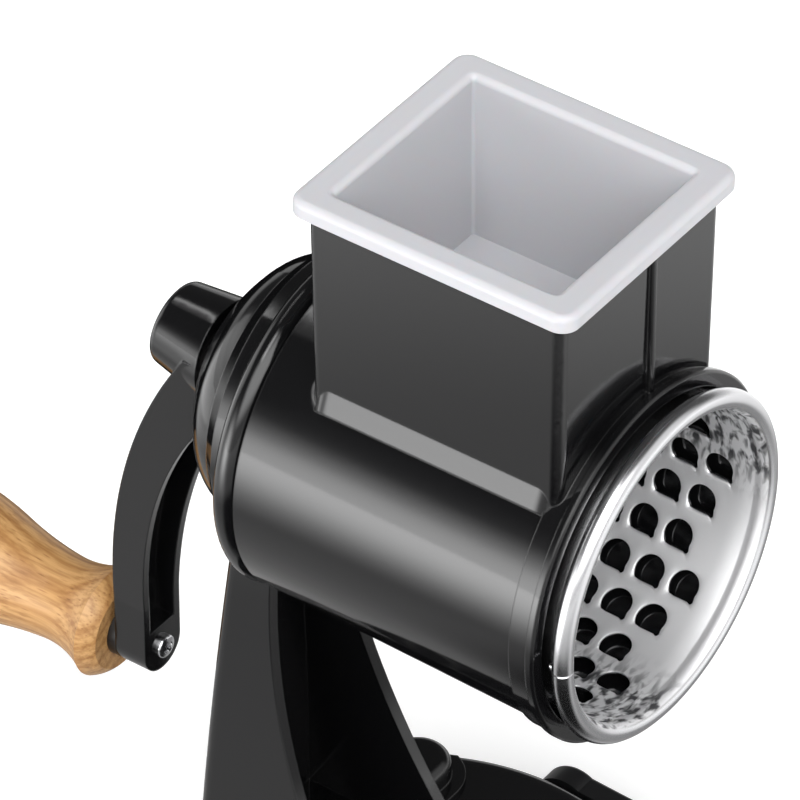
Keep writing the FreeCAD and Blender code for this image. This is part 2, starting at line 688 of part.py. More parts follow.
def make_bushes():
    rear_face = "-seat_behind - dome_depth"
    for name, face, rim_from, barrel_from in (
            ("rear_bush", rear_face, f"{rear_face} - bush_rim", rear_face),
            ("front_bush", "-seat_behind - bush_rim", "-seat_behind - bush_rim",
             "-seat_behind - bush_rim - bush_length")):
        barrel = cylinder(f"{name}_barrel", "bush_radius", "bush_length",
                          (barrel_from, "0", "axis_height"), "x")
        rim = cylinder(f"{name}_rim", "bush_flange", "bush_rim",
                       (rim_from, "0", "axis_height"), "x")
        bore = cylinder(f"{name}_bore", "shaft_radius + run_play", "3 * bush_length",
                        (f"{barrel_from} - bush_length", "0", "axis_height"), "x")
        cut(name, fuse(f"{name}_solid", [barrel, rim]), bore)


# --------------------------------------------------------------------------------------
# Housing: barrel and hopper in one piece
# --------------------------------------------------------------------------------------
def hopper_box(name, shrink, foot, rounded_corners=is_upright):
    """Tapered upright box of the hopper, cut down to foot above the drum's axis."""
    body = new_body(name)
    half_x = f"(hopper_length / 2 - {shrink})"
    half_y = f"(hopper_width / 2 - {shrink})"
    sketch = outline(body, "XY_Plane", [
        ("hopper_mid - " + half_x, "-" + half_y),
        ("hopper_mid + " + half_x, "-" + half_y),
        ("hopper_mid + " + half_x, half_y),
        ("hopper_mid - " + half_x, half_y),
    ], shift="hopper_rise")
    pad = body.newObject("PartDesign::Pad", name + "_pad")
    pad.Profile = sketch
    pad.Reversed = True
    tie(pad, "Length", f"hopper_rise - {foot}")
    tie(pad, "TaperAngle", "-hopper_taper")
    place(body, AXIS)
    doc.recompute()
    fillet = body.newObject("PartDesign::Fillet", name + "_corners")
    fillet.Base = (pad, edge_names(pad.Shape, rounded_corners))
    tie(fillet, "Radius", f"hopper_corner - {shrink} / 2")
    return body


def flared_foot():
    """The hopper's foot: its sides slope out to a ledge that stands square on the barrel."""
    lean = "tan(flare_slope * 1deg)"
    draft = "(hopper_rise - flare_top) * tan(hopper_taper * 1deg)"
    half = f"(hopper_width / 2 - {draft})"
    edge = f"({half} + (flare_top - flare_foot) * {lean})"
    inside = f"({half} - hopper_wall / 2 * {lean})"
    root = "hopper_width / (hopper_width + 4 * hopper_wall)"
    bar = prism("flare_bar", "YZ_Plane", [
        ("-" + inside, "flare_top + hopper_wall / 2"),
        ("-" + edge, "flare_foot"),
        (f"-{edge} * {root}", f"flare_foot * {root}"),
        (f"{edge} * {root}", f"flare_foot * {root}"),
        (edge, "flare_foot"),
        (inside, "flare_top + hopper_wall / 2"),
    ], f"hopper_length - 2 * {draft} - 2 * fit_gap", ("hopper_mid", "0", "axis_height"))
    doc.recompute()
    lowest = size("axis_height + flare_foot") - 0.01
    return rounded("hopper_foot", bar, "flare_corner",
                   lambda side: side.BoundBox.ZMin > lowest and side.BoundBox.ZLength > 1)


def make_housing():
    front = "(bead_ahead - lip_gap)"
    collar_from = f"({front} - collar_length)"
    barrel = turned("barrel_solid", [
        ("-seat_behind", "0"),
        (front, "0"),
        (front, "barrel_front"),
        ("-seat_behind", "barrel_rear"),
    ], at=AXIS)
    collar = turned("collar_ring", [
        (collar_from, "bore_front"),
        (front, "bore_front"),
        (front, "lip_radius - lip_thick / 4"),
        (f"{front} - lip_thick / 4", "lip_radius"),
        (f"{front} - lip_thick", "lip_radius"),
        (f"{front} - lip_thick", "collar_radius"),
        (collar_from, "collar_radius"),
    ], at=AXIS)

    # The hollow rounding runs along both sides and the back; the front corners follow after.
    hopper = hopper_box("hopper_square", "0", "0",
                        lambda edge: is_upright(edge) and edge.BoundBox.XMax < 0)
    blank = fuse("housing_blank", [barrel, hopper])
    lowest = size("axis_height + hopper_width / 2 - hopper_corner")
    highest = size("axis_height + barrel_front")
    behind = size("hopper_mid + hopper_length / 4")

    def meets_barrel(edge):
        """Edges of the hopper's foot, apart from the one under its front."""
        box = edge.BoundBox
        centre = (box.XMin + box.XMax) / 2
        on_foot = box.ZMin > lowest and box.ZMax < highest
        outside = centre > size("-seat_behind / 2")
        return on_foot and outside and centre < behind and max(box.XLength, box.YLength) > 1

    hollowed = rounded("housing_hollowed", blank, "hopper_hollow", meets_barrel)
    corner_blocks = [
        block(f"corner_block_{number}", ("3 * hopper_corner", "3 * hopper_corner", "hopper_rise + 1"),
              ("hopper_mid + hopper_length / 2 - hopper_corner - 1", edge, "axis_height"))
        for number, edge in enumerate(("hopper_width / 2 - hopper_corner - 1",
                                       "-hopper_width / 2 + 1 - 2 * hopper_corner"), start=1)]
    kept = fuse("corner_kept", [hopper_box("hopper_round", "0", "0"), barrel])
    waste = cut("corner_waste", fuse("corner_blocks", corner_blocks), kept)
    body = cut("housing_body", hollowed, waste)
    rib = block("rib_block", ("rib_proud + hopper_wall", "rib_width", "hopper_rise - barrel_front"),
                ("hopper_mid + hopper_length / 2 - hopper_wall", "rib_side - rib_width / 2",
                 "axis_height + barrel_front - 1"))
    soft_rib = rounded("hopper_rib", rib, "rib_round", is_upright)
    whole = fuse("housing_whole", [body, collar, soft_rib, flared_foot()])

    bore = turned("barrel_bore", [
        ("-seat_behind + rear_wall", "0"),
        ("bead_ahead", "0"),
        ("bead_ahead", "bore_front"),
        ("-seat_behind + rear_wall", "bore_rear"),
    ], at=AXIS)
    chute = hopper_box("hopper_chute", "hopper_wall", "0")
    mouth = cylinder("rear_mouth", "rear_hole", "3 * rear_wall",
                     ("-seat_behind - rear_wall", "0", "axis_height"), "x")
    holes = [cylinder(f"housing_hole_{number}", "screw_radius + screw_play", "3 * rear_wall",
                      ("-seat_behind - rear_wall",) + place_at, "x")
             for number, place_at in enumerate(ring_places("housing_pcd"), start=1)]
    cut("barrel_hopper", whole, fuse("housing_cuts", [bore, chute, mouth] + holes))

    screws = []
    for number, place_at in enumerate(ring_places("housing_pcd"), start=1):
        seat = "-seat_behind + rear_wall"
        head = cylinder(f"housing_head_{number}", "screw_head", "head_thick / 2",
                        (seat,) + place_at, "x")
        shank = cylinder(f"housing_shank_{number}", "screw_radius - screw_play / 4",
                         "rear_wall + 2 * screw_grip",
                         (f"{seat} - rear_wall - 2 * screw_grip",) + place_at, "x")
        screws.append(fuse(f"housing_screw_{number}", [head, shank]))
    group("housing_screws", screws)


# --------------------------------------------------------------------------------------
# Pusher
# --------------------------------------------------------------------------------------
def pusher_box(name, shrink, top, depth, corner):
    """Tapered upright box around the hopper's middle, hanging from top."""
    body = new_body(name)
    half_x = f"(hopper_length / 2 - hopper_wall - pusher_gap - {shrink})"
    half_y = f"(hopper_width / 2 - hopper_wall - pusher_gap - {shrink})"
    sketch = outline(body, "XY_Plane", [
        ("hopper_mid - " + half_x, "-" + half_y),
        ("hopper_mid + " + half_x, "-" + half_y),
        ("hopper_mid + " + half_x, half_y),
        ("hopper_mid - " + half_x, half_y),
    ], shift=top)
    pad = body.newObject("PartDesign::Pad", name + "_pad")
    pad.Profile = sketch
    pad.Reversed = True
    tie(pad, "Length", depth)
    tie(pad, "TaperAngle", "-pusher_taper")
    place(body, AXIS)
    doc.recompute()
    fillet = body.newObject("PartDesign::Fillet", name + "_corners")
    fillet.Base = (pad, edge_names(pad.Shape, is_upright))
    tie(fillet, "Radius", corner)
    return body


def make_pusher():
    rim_foot = "(hopper_rise + seat_gap)"
    rim_top = "(hopper_rise + seat_gap + rim_height)"
    rim = new_body("pusher_rim")
    half_x = "(hopper_length / 2 + rim_over_x)"
    half_y = "(hopper_width / 2 + rim_over_y)"
    sketch = outline(rim, "XY_Plane", [
        ("hopper_mid - " + half_x, "-" + half_y),
        ("hopper_mid + " + half_x, "-" + half_y),
        ("hopper_mid + " + half_x, half_y),
        ("hopper_mid - " + half_x, half_y),
    ], shift=rim_foot)
    pad = rim.newObject("PartDesign::Pad", "pusher_rim_pad")
    pad.Profile = sketch
    tie(pad, "Length", "rim_height")
    place(rim, AXIS)
    doc.recompute()
    corners = rim.newObject("PartDesign::Fillet", "pusher_rim_corners")
    corners.Base = (pad, edge_names(pad.Shape, is_upright))
    tie(corners, "Radius", "rim_corner")

    well = pusher_box("pusher_well", "0", rim_top, "rim_height + seat_gap + pusher_depth",
                      "hopper_corner - pusher_gap")
    hollow = pusher_box("pusher_hollow", "pusher_wall", rim_top,
                        "rim_height + seat_gap + pusher_depth - pusher_floor",
                        "hopper_corner - pusher_wall")
    blank = cut("pusher_blank", fuse("pusher_solid", [rim, well]), hollow)
    top = size("axis_height + " + rim_top)
    rounded("pusher", blank, "rim_round", lambda edge: edge.BoundBox.ZMin > top - 0.01)


# --------------------------------------------------------------------------------------
# Drum
# --------------------------------------------------------------------------------------
def make_drum():
    rear = "(bead_ahead - drum_length)"
    sheet_outer = "(drum_inner + drum_sheet)"
    bead_middle = "(bead_outer - bead_round)"
    tube = turned("drum_tube", [
        (rear, "drum_inner"),
        ("bead_ahead", "drum_inner"),
        ("bead_ahead", sheet_outer),
        (rear, sheet_outer),
    ], at=AXIS)
    bead = doc.addObject("Part::Torus", "drum_bead")
    tie(bead, "Radius1", bead_middle)
    tie(bead, "Radius2", "bead_round")
    place(bead, ("bead_ahead", "0", "axis_height"), ALONG["x"])
    angle = "(seam_angle * 1deg)"
    tab = block("seam_tab", ("tab_size", "tab_size", "tab_size"),
                (f"bead_ahead - bead_round - tab_size / 3",
                 f"{bead_middle} * cos({angle}) - tab_size / 2",
                 f"axis_height + {bead_middle} * sin({angle}) - tab_size / 2"))
    drum_blank = fuse("drum_blank", [tube, bead, tab])

    # Cutting holes: every row starts a third of a pitch further back than the one before.
    rows = int(size("hole_rows"))
    phases = int(size("hole_phases"))
    cutters = []
    for row_number in range(rows):
        around = math.radians(FULL_TURN * row_number / rows + size("hole_turn"))
        outward = Vector(0, math.cos(around), math.sin(around))
        phase = (-row_number) % phases
        for column in range(int(size("hole_columns"))):
            back = size("hole_first") + size("hole_pitch") * (column + phase / phases)
            if back > size("drum_length - plain_band - hole_radius"):
                continue
            foot = Vector(size("bead_ahead") - back, 0, size("axis_height"))
            start = foot + outward * (size("drum_inner") - size("hole_radius"))
            cutters.append(Part.makeCylinder(size("hole_radius"), 2 * size("hole_radius"),
                                             start, outward))
    holes = doc.addObject("Part::Feature", "hole_cutters")
    holes.Shape = Part.makeCompound(cutters)
    cut("drum_shell", drum_blank, holes)

    plate_outer = "drum_inner"
    plate = turned("back_dish", [
        (rear, "shaft_radius + 1"),
        (f"{rear} + back_sheet", "shaft_radius + 1"),
        (f"{rear} + back_sheet", f"{plate_outer} - back_sheet"),
        (f"{rear} + back_flange", f"{plate_outer} - back_sheet"),
        (f"{rear} + back_flange", plate_outer),
        (rear, plate_outer),
    ], at=AXIS)
    rivet_holes = [cylinder(f"back_hole_{number}", "rivet_radius", "3 * back_sheet",
                            (f"{rear} - back_sheet",) + place_at, "x")
                   for number, place_at in enumerate(ring_places("rivet_circle"), start=1)]
    cut("drum_back", plate, fuse("back_holes", rivet_holes))

    seat = f"({rear} + back_sheet)"
    flange = cylinder("hub_disc", "hub_flange", "hub_plate", (seat, "0", "axis_height"), "x")
    sleeve = cylinder("hub_sleeve", "hub_radius", "hub_length", (seat, "0", "axis_height"), "x")
    socket = block("hub_socket", ("hub_length - hub_floor", "square_side + 2 * run_play",
                                  "square_side + 2 * run_play"),
                   (seat, "-square_side / 2 - run_play",
                    "axis_height - square_side / 2 - run_play"))
    hub_holes = [cylinder(f"hub_hole_{number}", "rivet_radius", "3 * hub_plate",
                          (f"{seat} - hub_plate",) + place_at, "x")
                 for number, place_at in enumerate(ring_places("rivet_circle"), start=1)]
    cut("drum_hub", fuse("drum_hub_solid", [flange, sleeve]), fuse("hub_cuts", [socket] + hub_holes))

    rivets = []
    for number, place_at in enumerate(ring_places("rivet_circle"), start=1):
        shank = cylinder(f"rivet_shank_{number}", "rivet_radius",
                         "back_sheet + hub_plate + 1.5 * rivet_dome",
                         (f"{rear} - rivet_dome / 2",) + place_at, "x")
        front = cylinder(f"rivet_front_{number}", "rivet_head", "rivet_dome",
                         (f"{seat} + hub_plate",) + place_at, "x")
        back = cylinder(f"rivet_back_{number}", "rivet_head", "rivet_dome / 2",
                        (f"{rear} - rivet_dome / 2",) + place_at, "x")
        rivets.append(fuse(f"rivet_{number}", [shank, front, back]))
    group("drum_rivets", rivets)


# --------------------------------------------------------------------------------------
# Drive shaft, crank and grip
# --------------------------------------------------------------------------------------
HUB_FACE = "(-seat_behind - dome_depth - bush_rim - crank_gap)"
GRIP_AXIS = "(axis_height - crank_radius)"


def square_bar(name, start, length, play="0"):
    half = f"(square_side / 2 + {play})"
    return block(name, (length, f"2 * {half}", f"2 * {half}"),
                 (start, f"-{half}", f"axis_height - {half}"))


def make_shaft():
    clip_from = "(-seat_behind + crank_gap)"
    round_end = "(-seat_behind + crank_gap + 2 * clip_thick)"
    square_end = "(bead_ahead - drum_length + back_sheet + hub_length - hub_floor - seat_gap)"
    bar = cylinder("shaft_bar", "shaft_radius", f"{round_end} - {HUB_FACE}",
                   (HUB_FACE, "0", "axis_height"), "x")
    front = square_bar("shaft_front", round_end, f"{square_end} - {round_end}")
    rear = square_bar("shaft_rear", f"{HUB_FACE} - square_rear", "square_rear")
    groove = cylinder("clip_groove_disc", "shaft_radius + 1", "clip_thick",
                      (clip_from, "0", "axis_height"), "x")
    core = cylinder("clip_groove_core", "shaft_radius - clip_groove", "clip_thick",
                    (clip_from, "0", "axis_height"), "x")
    groove_ring = cut("clip_groove_ring", groove, core)
    cut("drive_shaft", fuse("shaft_solid", [bar, front, rear]), groove_ring)

    disc = cylinder("clip_disc", "clip_radius", "clip_thick", (clip_from, "0", "axis_height"), "x")
    hole = cylinder("clip_hole", "shaft_radius - clip_groove + fit_gap / 4", "clip_thick",
                    (clip_from, "0", "axis_height"), "x")
    gap = block("clip_gap", ("clip_thick", "shaft_radius", "2 * clip_radius"),
                (clip_from, "-shaft_radius / 2", "axis_height"))
    cut("retaining_ring", disc, fuse("clip_cuts", [hole, gap]))


def crank_path():
    """Side view of the arm: straight at the grip, then one arc on each face up to the hub."""
    bend_foot = f"({GRIP_AXIS} + arm_straight)"
    top = "(axis_height + arm_root_rise)"
    rise = f"({top} - {bend_foot})"
    outer_x = f"(-arm_outer + arm_bend_outer - sqrt(arm_bend_outer ^ 2 - {rise} ^ 2))"
    inner_x = f"(-arm_outer + arm_thick + arm_bend_inner - sqrt(arm_bend_inner ^ 2 - {rise} ^ 2))"
    inner_face = "-arm_outer + arm_thick"
    return [
        ("-arm_outer", f"{GRIP_AXIS} - arm_end"),
        (inner_face, f"{GRIP_AXIS} - arm_end"),
        (inner_face, bend_foot),
        (inner_x, top, "-arm_bend_inner"),
        (outer_x, top),
        ("-arm_outer", bend_foot, "arm_bend_outer"),
    ]


def arm_front(name, inset, foot, top):
    """Front view of the arm between two heights: straight at the grip, wider at the hub."""
    wide = f"(arm_root - {inset})"
    narrow = f"(arm_end - {inset})"
    bend = f"({GRIP_AXIS} + arm_straight)"
    share = f"(({top} - {bend}) / (axis_height + arm_root_rise - {bend}))"
    upper = f"({narrow} + ({wide} - {narrow}) * {share})"
    return prism(name, "YZ_Plane", [
        ("-" + narrow, foot),
        (narrow, foot),
        (narrow, bend),
        (upper, top),
        ("-" + upper, top),
        ("-" + narrow, bend),
    ], "4 * arm_outer")


def make_crank():
    reach = block("arm_reach", ("3 * arm_outer", "4 * arm_root", "3 * crank_radius"),
                  (f"{HUB_FACE} - 3 * arm_outer", "-2 * arm_root",
                   "axis_height - 2 * crank_radius"))
    cone = doc.addObject("Part::Cone", "hub_cone")
    tie(cone, "Radius1", "crank_hub_front")
    tie(cone, "Radius2", "crank_hub_end")
    tie(cone, "Height", "(crank_hub_length + crank_hub_lead) / cos(crank_hub_tilt * 1deg)")
    lean = Rotation(Vector(0, 1, 0), size("crank_hub_tilt") - 90)
    place(cone, (f"{HUB_FACE} + crank_hub_lead", "0", "axis_height + crank_hub_rise"), lean)
    closed_end = size(f"{HUB_FACE} - crank_hub_length / 2")
    soft = rounded("hub_soft", cone, "crank_hub_round",
                   lambda edge: edge.BoundBox.XMax < closed_end and edge.BoundBox.YLength > 5)
    hub = common("hub_solid", [soft, reach])
    side = prism("arm_side", "XZ_Plane", crank_path(), "4 * arm_root")
    upper = common("arm_upper", [side, reach, arm_front("arm_front_outer", "0", GRIP_AXIS,
                                                        "(axis_height + arm_root_rise)")])
    end = cylinder("arm_end_disc", "arm_end", "arm_thick",
                   ("-arm_outer", "0", GRIP_AXIS), "x")

    pocket_foot = f"({GRIP_AXIS} + pocket_boss)"
    pocket_side = prism("pocket_side", "XZ_Plane", [
        ("-arm_outer + pocket_floor", pocket_foot),
        ("0", pocket_foot),
        ("0", "axis_height"),
        (f"-arm_outer + pocket_floor + arm_bend_outer - sqrt(arm_bend_outer ^ 2 - crank_radius ^ 2"
         f" + 2 * crank_radius * arm_straight - arm_straight ^ 2)", "axis_height"),
        ("-arm_outer + pocket_floor", f"{GRIP_AXIS} + arm_straight", "arm_bend_outer"),
    ], "4 * arm_root")
    pocket_front = arm_front("pocket_front", "pocket_rim", pocket_foot, "axis_height - pocket_top")
    pocket = common("arm_pocket", [pocket_side, pocket_front])

    socket = square_bar("crank_square", f"{HUB_FACE} - square_rear - seat_gap",
                        "square_rear + seat_gap", "fit_gap / 4")
    grub_at = (f"{HUB_FACE} - crank_screw_at", "square_side / 2", "axis_height")
    hole = cylinder("grub_hole", "crank_thread + screw_play / 4", "crank_hub_length",
                    grub_at, "y")
    screw_hole = cylinder("handle_screw_hole", "handle_screw_radius + screw_play",
                          "2 * arm_thick", ("-arm_outer - 1", "0", GRIP_AXIS), "x")
    solid = fuse("crank_solid", [hub, cut("arm_open", fuse("arm_solid", [upper, end]), pocket)])
    cut("crank_arm", solid, fuse("crank_cuts", [socket, hole, screw_hole]))

    grub = cylinder("grub_body", "crank_thread", "crank_screw_length", grub_at, "y")
    recess = cylinder("grub_recess", "crank_screw_head", "crank_screw_length / 3",
                      (grub_at[0], "square_side / 2 + crank_screw_length * 2 / 3", grub_at[2]), "y")
    cut("crank_screw", grub, recess)


def make_grip():
    face = "(-arm_outer - spacer_length)"
    end = f"({face} - grip_length)"
    head_from = f"({end} + plug_length + head_room)"
    washer_from = f"({head_from} + spindle_head_thick)"
    step = f"({washer_from} + grip_washer_thick + seat_gap)"
    handle = ("0", "0", GRIP_AXIS)

    spacer = cylinder("spacer_disc", "spacer_radius", "spacer_length - seat_gap",
                      (f"{face} + seat_gap", "0", GRIP_AXIS), "x")
    spacer_bore = cylinder("spacer_bore", "spindle_radius + run_play", "spacer_length",
                           (face, "0", GRIP_AXIS), "x")
    cut("grip_spacer", spacer, spacer_bore)

    rod = cylinder("spindle_bar", "spindle_radius", f"-arm_outer - {washer_from}",
                   (washer_from, "0", GRIP_AXIS), "x")
    head = cylinder("spindle_disc", "spindle_head", "spindle_head_thick",
                    (head_from, "0", GRIP_AXIS), "x")
    thread = cylinder("spindle_bore", "handle_screw_radius", "spindle_thread",
                      ("-arm_outer - spindle_thread", "0", GRIP_AXIS), "x")
    cut("grip_spindle", fuse("spindle_solid", [head, rod]), thread)

    washer = cylinder("washer_disc", "spindle_head", "grip_washer_thick",
                      (washer_from, "0", GRIP_AXIS), "x")
    washer_hole = cylinder("washer_hole", "spindle_radius + run_play", "grip_washer_thick",
                           (washer_from, "0", GRIP_AXIS), "x")
    cut("grip_washer", washer, washer_hole)

    screw_head = cylinder("handle_screw_disc", "handle_screw_head", "handle_head_rise",
                          ("-arm_outer + arm_thick", "0", GRIP_AXIS), "x")
    screw_shank = cylinder("handle_screw_shank", "handle_screw_radius - screw_play / 4",
                           "arm_thick + spindle_thread - 2",
                           ("-arm_outer - spindle_thread + 2", "0", GRIP_AXIS), "x")
    soft = rounded("handle_head_soft", screw_head, "handle_head_rise / 2",
                   lambda edge: edge.BoundBox.XMin > size("-arm_outer + arm_thick") + 0.1)
    fuse("handle_screw", [soft, screw_shank])

    neck_bend = "2.2 * grip_neck"
    belly_bend = "8.4 * grip_neck"
    wood = turned("grip_turned", [
        (face, "0"),
        (face, "grip_face"),
        (f"{face} - flare_at", "grip_flare", "3 * (grip_flare - grip_face)"),
        (f"{face} - neck_at", "grip_neck", "-" + neck_bend),
        (f"{face} - (neck_at + belly_at) / 2", "(grip_neck + grip_belly) / 2", "-" + belly_bend),
        (f"{face} - belly_at", "grip_belly", belly_bend),
        (f"{end} + plug_length", "grip_tail + 2", "2 * grip_belly"),
        (end, "grip_tail"),
        (end, "0"),
    ], at=handle)
    bore = cylinder("grip_bore", "spindle_radius + run_play", "grip_length",
                    (end, "0", GRIP_AXIS), "x")
    room = cylinder("grip_counterbore", "plug_radius", f"{step} - {end}",
                    (end, "0", GRIP_AXIS), "x")
    cut("wooden_grip", wood, fuse("grip_cuts", [bore, room]))
    cylinder("grip_plug", "plug_radius - plug_gap", "plug_length", (end, "0", GRIP_AXIS), "x")


# --------------------------------------------------------------------------------------
# Build, check and write
# --------------------------------------------------------------------------------------
NODES = [
    "base_shell", "suction_cup", "cup_plate", "pull_stud", "lever_rod", "suction_lever",
    "lever_screw", "stand_leg", "leg_screws", "rear_bush", "front_bush", "barrel_hopper",
    "housing_screws", "pusher", "drum_shell", "drum_back", "drum_hub", "drum_rivets",
    "drive_shaft", "retaining_ring", "crank_arm", "crank_screw", "grip_spacer", "grip_spindle",
    "grip_washer", "handle_screw", "wooden_grip", "grip_plug",
]


def check():
    """Stop on any failed object and on any piece that is empty, invalid or not solid."""
    for item in doc.Objects:
        if any(word in item.State for word in ("Invalid", "Error")):
            raise RuntimeError(f"{item.Label} failed: {item.State}")
    for name in NODES:
        shape = doc.getObjectsByLabel(name)[0].Shape
        if shape.isNull() or not shape.isValid() or not shape.Solids:
            raise RuntimeError(f"{name} has no valid solid")
        box = shape.optimalBoundingBox(False)
        print(f"{name:16s} solids {len(shape.Solids)} volume {shape.Volume:10.1f}"
              f"  x {box.XMin:7.1f} {box.XMax:6.1f}  y {box.YMin:6.1f} {box.YMax:6.1f}"
              f"  z {box.ZMin:6.1f} {box.ZMax:6.1f}")


def write():
    os.makedirs("parts", exist_ok=True)
    for name in NODES:
        doc.getObjectsByLabel(name)[0].Shape.exportStep(f"parts/{name}.step")


for make in (make_base_shell, make_suction_cup, make_pull_stud, make_lever, make_stand,
             make_bushes, make_housing, make_pusher, make_drum, make_shaft, make_crank, make_grip):
    make()
    doc.recompute()
check()
write()
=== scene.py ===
# %% [markdown]
# # A hand-cranked drum shredder, dressed in Blender
# The shape of every casting, shaft and screw comes from a solid model that is already measured. It
# is loaded as a fixed frame, and nothing here moves or resizes it. This lesson gives the frame its
# finishes, and builds the pieces whose charm is in small detail: the punched steel drum with its
# rolled bead, and the cross-recessed screw in the crank.
# Lengths are in metres, +Z is up and +X points out of the mouth of the drum.

# %% Load the frame
import json
import math

import bmesh
import bpy
import numpy as np
from mathutils import Matrix, Vector


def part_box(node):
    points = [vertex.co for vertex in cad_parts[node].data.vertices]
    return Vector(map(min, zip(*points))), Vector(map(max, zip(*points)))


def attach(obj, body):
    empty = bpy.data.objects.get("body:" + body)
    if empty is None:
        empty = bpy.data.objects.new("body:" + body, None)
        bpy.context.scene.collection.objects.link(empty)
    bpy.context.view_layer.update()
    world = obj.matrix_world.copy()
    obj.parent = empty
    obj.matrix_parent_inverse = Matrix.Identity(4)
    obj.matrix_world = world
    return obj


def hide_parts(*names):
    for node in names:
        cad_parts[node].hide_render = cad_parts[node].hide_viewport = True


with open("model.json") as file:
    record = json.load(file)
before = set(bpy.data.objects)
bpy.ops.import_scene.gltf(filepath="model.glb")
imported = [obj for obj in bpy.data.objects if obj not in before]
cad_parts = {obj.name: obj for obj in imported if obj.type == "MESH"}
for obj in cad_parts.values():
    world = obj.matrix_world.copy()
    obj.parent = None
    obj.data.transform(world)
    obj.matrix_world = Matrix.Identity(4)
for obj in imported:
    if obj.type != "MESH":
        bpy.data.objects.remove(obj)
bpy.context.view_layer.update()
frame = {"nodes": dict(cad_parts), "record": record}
nodes = frame["nodes"]
MM = 0.001

# %% [markdown]
# ## What the frame says about the drum
# The drum is the piece that the eye goes to, so its places are read from the frame instead of being
# typed in again. The bead is the widest part of the sheet, so its box gives the axis of the drum
# and the plane of its mouth.

# %% Places that the frame gives
bead_low, bead_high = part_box("drum_shell")
AXIS_Y = (bead_low.y + bead_high.y) / 2
AXIS_Z = (bead_low.z + bead_high.z) / 2
BEAD_OUTER = (bead_high.z - bead_low.z) / 2
BEAD_ROUND = 2.9 * MM
MOUTH_X = bead_high.x - BEAD_ROUND
DRUM_REAR_X = bead_low.x
print("drum axis at", round(AXIS_Z / MM, 2), "mm, mouth at", round(MOUTH_X / MM, 2), "mm")

# %% [markdown]
# ## Small helpers for materials
# A node tree is a list of nodes with settings and links, so one function that adds a node and wires
# it is enough for every finish. Colours are written as sRGB hex, as a maker's colour card gives
# them, and turned to the linear values that the renderer works with.

# %% Colour and node helpers
def linear(hex_colour, alpha=1.0):
    """Linear colour of an sRGB hex value: c/12.92 below 0.04045, else ((c+0.055)/1.055)^2.4."""
    parts = [int(hex_colour[i:i + 2], 16) / 255 for i in (1, 3, 5)]
    return [c / 12.92 if c <= 0.04045 else ((c + 0.055) / 1.055) ** 2.4 for c in parts] + [alpha]


def add(tree, kind, settings=None, inputs=None, steps=()):
    """Adds one node. Settings are its attributes. Inputs are values, or sockets to link, and a node
    stands for its first output. Steps are positions on a ramp, each with its hex colour."""
    made = tree.nodes.new(kind)
    for name, value in (settings or {}).items():
        setattr(made, name, value)
    for name, value in (inputs or {}).items():
        if isinstance(value, bpy.types.Node):
            value = value.outputs[0]
        if isinstance(value, bpy.types.NodeSocket):
            tree.links.new(value, made.inputs[name])
        else:
            made.inputs[name].default_value = value
    if steps:
        elements = made.color_ramp.elements
        while len(elements) < len(steps):
            elements.new(0.5)
        for element, (position, colour) in zip(elements, steps):
            element.position = position
            element.color = linear(colour)
    return made


def new_material(name):
    """An empty node material, its tree, and the output node's surface socket."""
    made = bpy.data.materials.new(name)
    made.use_nodes = True
    made.node_tree.nodes.clear()
    output = made.node_tree.nodes.new("ShaderNodeOutputMaterial")
    return made, made.node_tree, output.inputs["Surface"]


# %% [markdown]
# ## Black enamel on cast aluminium
# The castings are dipped or sprayed with a glossy black stoving enamel. Black gloss shows almost no
# colour of its own: what the eye reads is the reflection of the studio. Sprayed enamel flows, so
# its skin has a faint swell ("orange peel") a couple of millimetres long, and it rounds over every
# edge. The Bevel node gives that rounding to the shading without touching the frame's mesh.

# %% Enamel
PEEL_LENGTH = 2.4 * MM
PEEL_DEPTH = 0.2 * MM
EDGE_ROUND = 0.7 * MM


def black_enamel():
    """Near-black glossy paint: a Bevel node rounds its edges, and noise gives its faint swell."""
    made, tree, surface = new_material("black_stoving_enamel")
    place = add(tree, "ShaderNodeTexCoord").outputs["Object"]
    peel = add(tree, "ShaderNodeTexNoise", inputs={
        "Vector": place, "Scale": 1 / PEEL_LENGTH, "Detail": 1.0})
    edges = add(tree, "ShaderNodeBevel", {"samples": 4}, {"Radius": EDGE_ROUND})
    swell = add(tree, "ShaderNodeBump", inputs={
        "Strength": 0.02, "Distance": PEEL_DEPTH, "Height": peel, "Normal": edges})
    paint = add(tree, "ShaderNodeBsdfPrincipled", inputs={
        "Base Color": linear("#0c0c0d"), "Roughness": 0.09, "IOR": 1.5, "Normal": swell})
    tree.links.new(paint.outputs["BSDF"], surface)
    return made


# %% [markdown]
# ## Stainless sheet
# The drum is rolled from stainless sheet. Tumbling after the punching leaves it satin inside, and
# the rolled bead is rubbed brighter. Around the drum run fine lines, about a tenth of a millimetre
# apart. Lines that fine blur a reflection along the drum's length, so they are drawn a little
# coarser, 0.5 mm, and only nudge the bump. On one side grey spots are painted into the sheet's
# colour: a painted reflection that stands in for the dark mottle the wavy sheet mirrors.

# %% Stainless
SHEET_INNER = 44.6 * MM
# fine lines: their pitch along the drum, how far one runs around it, and their depth
LINE_PITCH = 0.5 * MM
LINE_RUN = 24 * MM
LINE_DEPTH = 0.05 * MM
# grey spots of painted reflection: a spot's width, that width as a share of its run, and the
# noise values of a spot's edge
REFLECTION_SPOT_WIDTH = 2.2 * MM
REFLECTION_SPOT_RUN = 0.35
REFLECTION_SPOT_EDGE = (0.42, 0.64)
# the middle of the side without painted reflection, and the cosines of the angles from it where
# the painted reflection spots set in
PLAIN_SIDE_TURN = math.radians(-45)
PAINTED_REFLECTION_START = (0.86, 0.62)
# radii where the plates inside the drum end and its sheet starts, and where the bead starts
SHEET_FROM = (SHEET_INNER - 1.0 * MM, SHEET_INNER - 0.6 * MM)
BEAD_FROM = (SHEET_INNER + 0.3 * MM, SHEET_INNER + 0.6 * MM)
SATIN_ROUGHNESS = 0.62
RUBBED_ROUGHNESS = 0.24


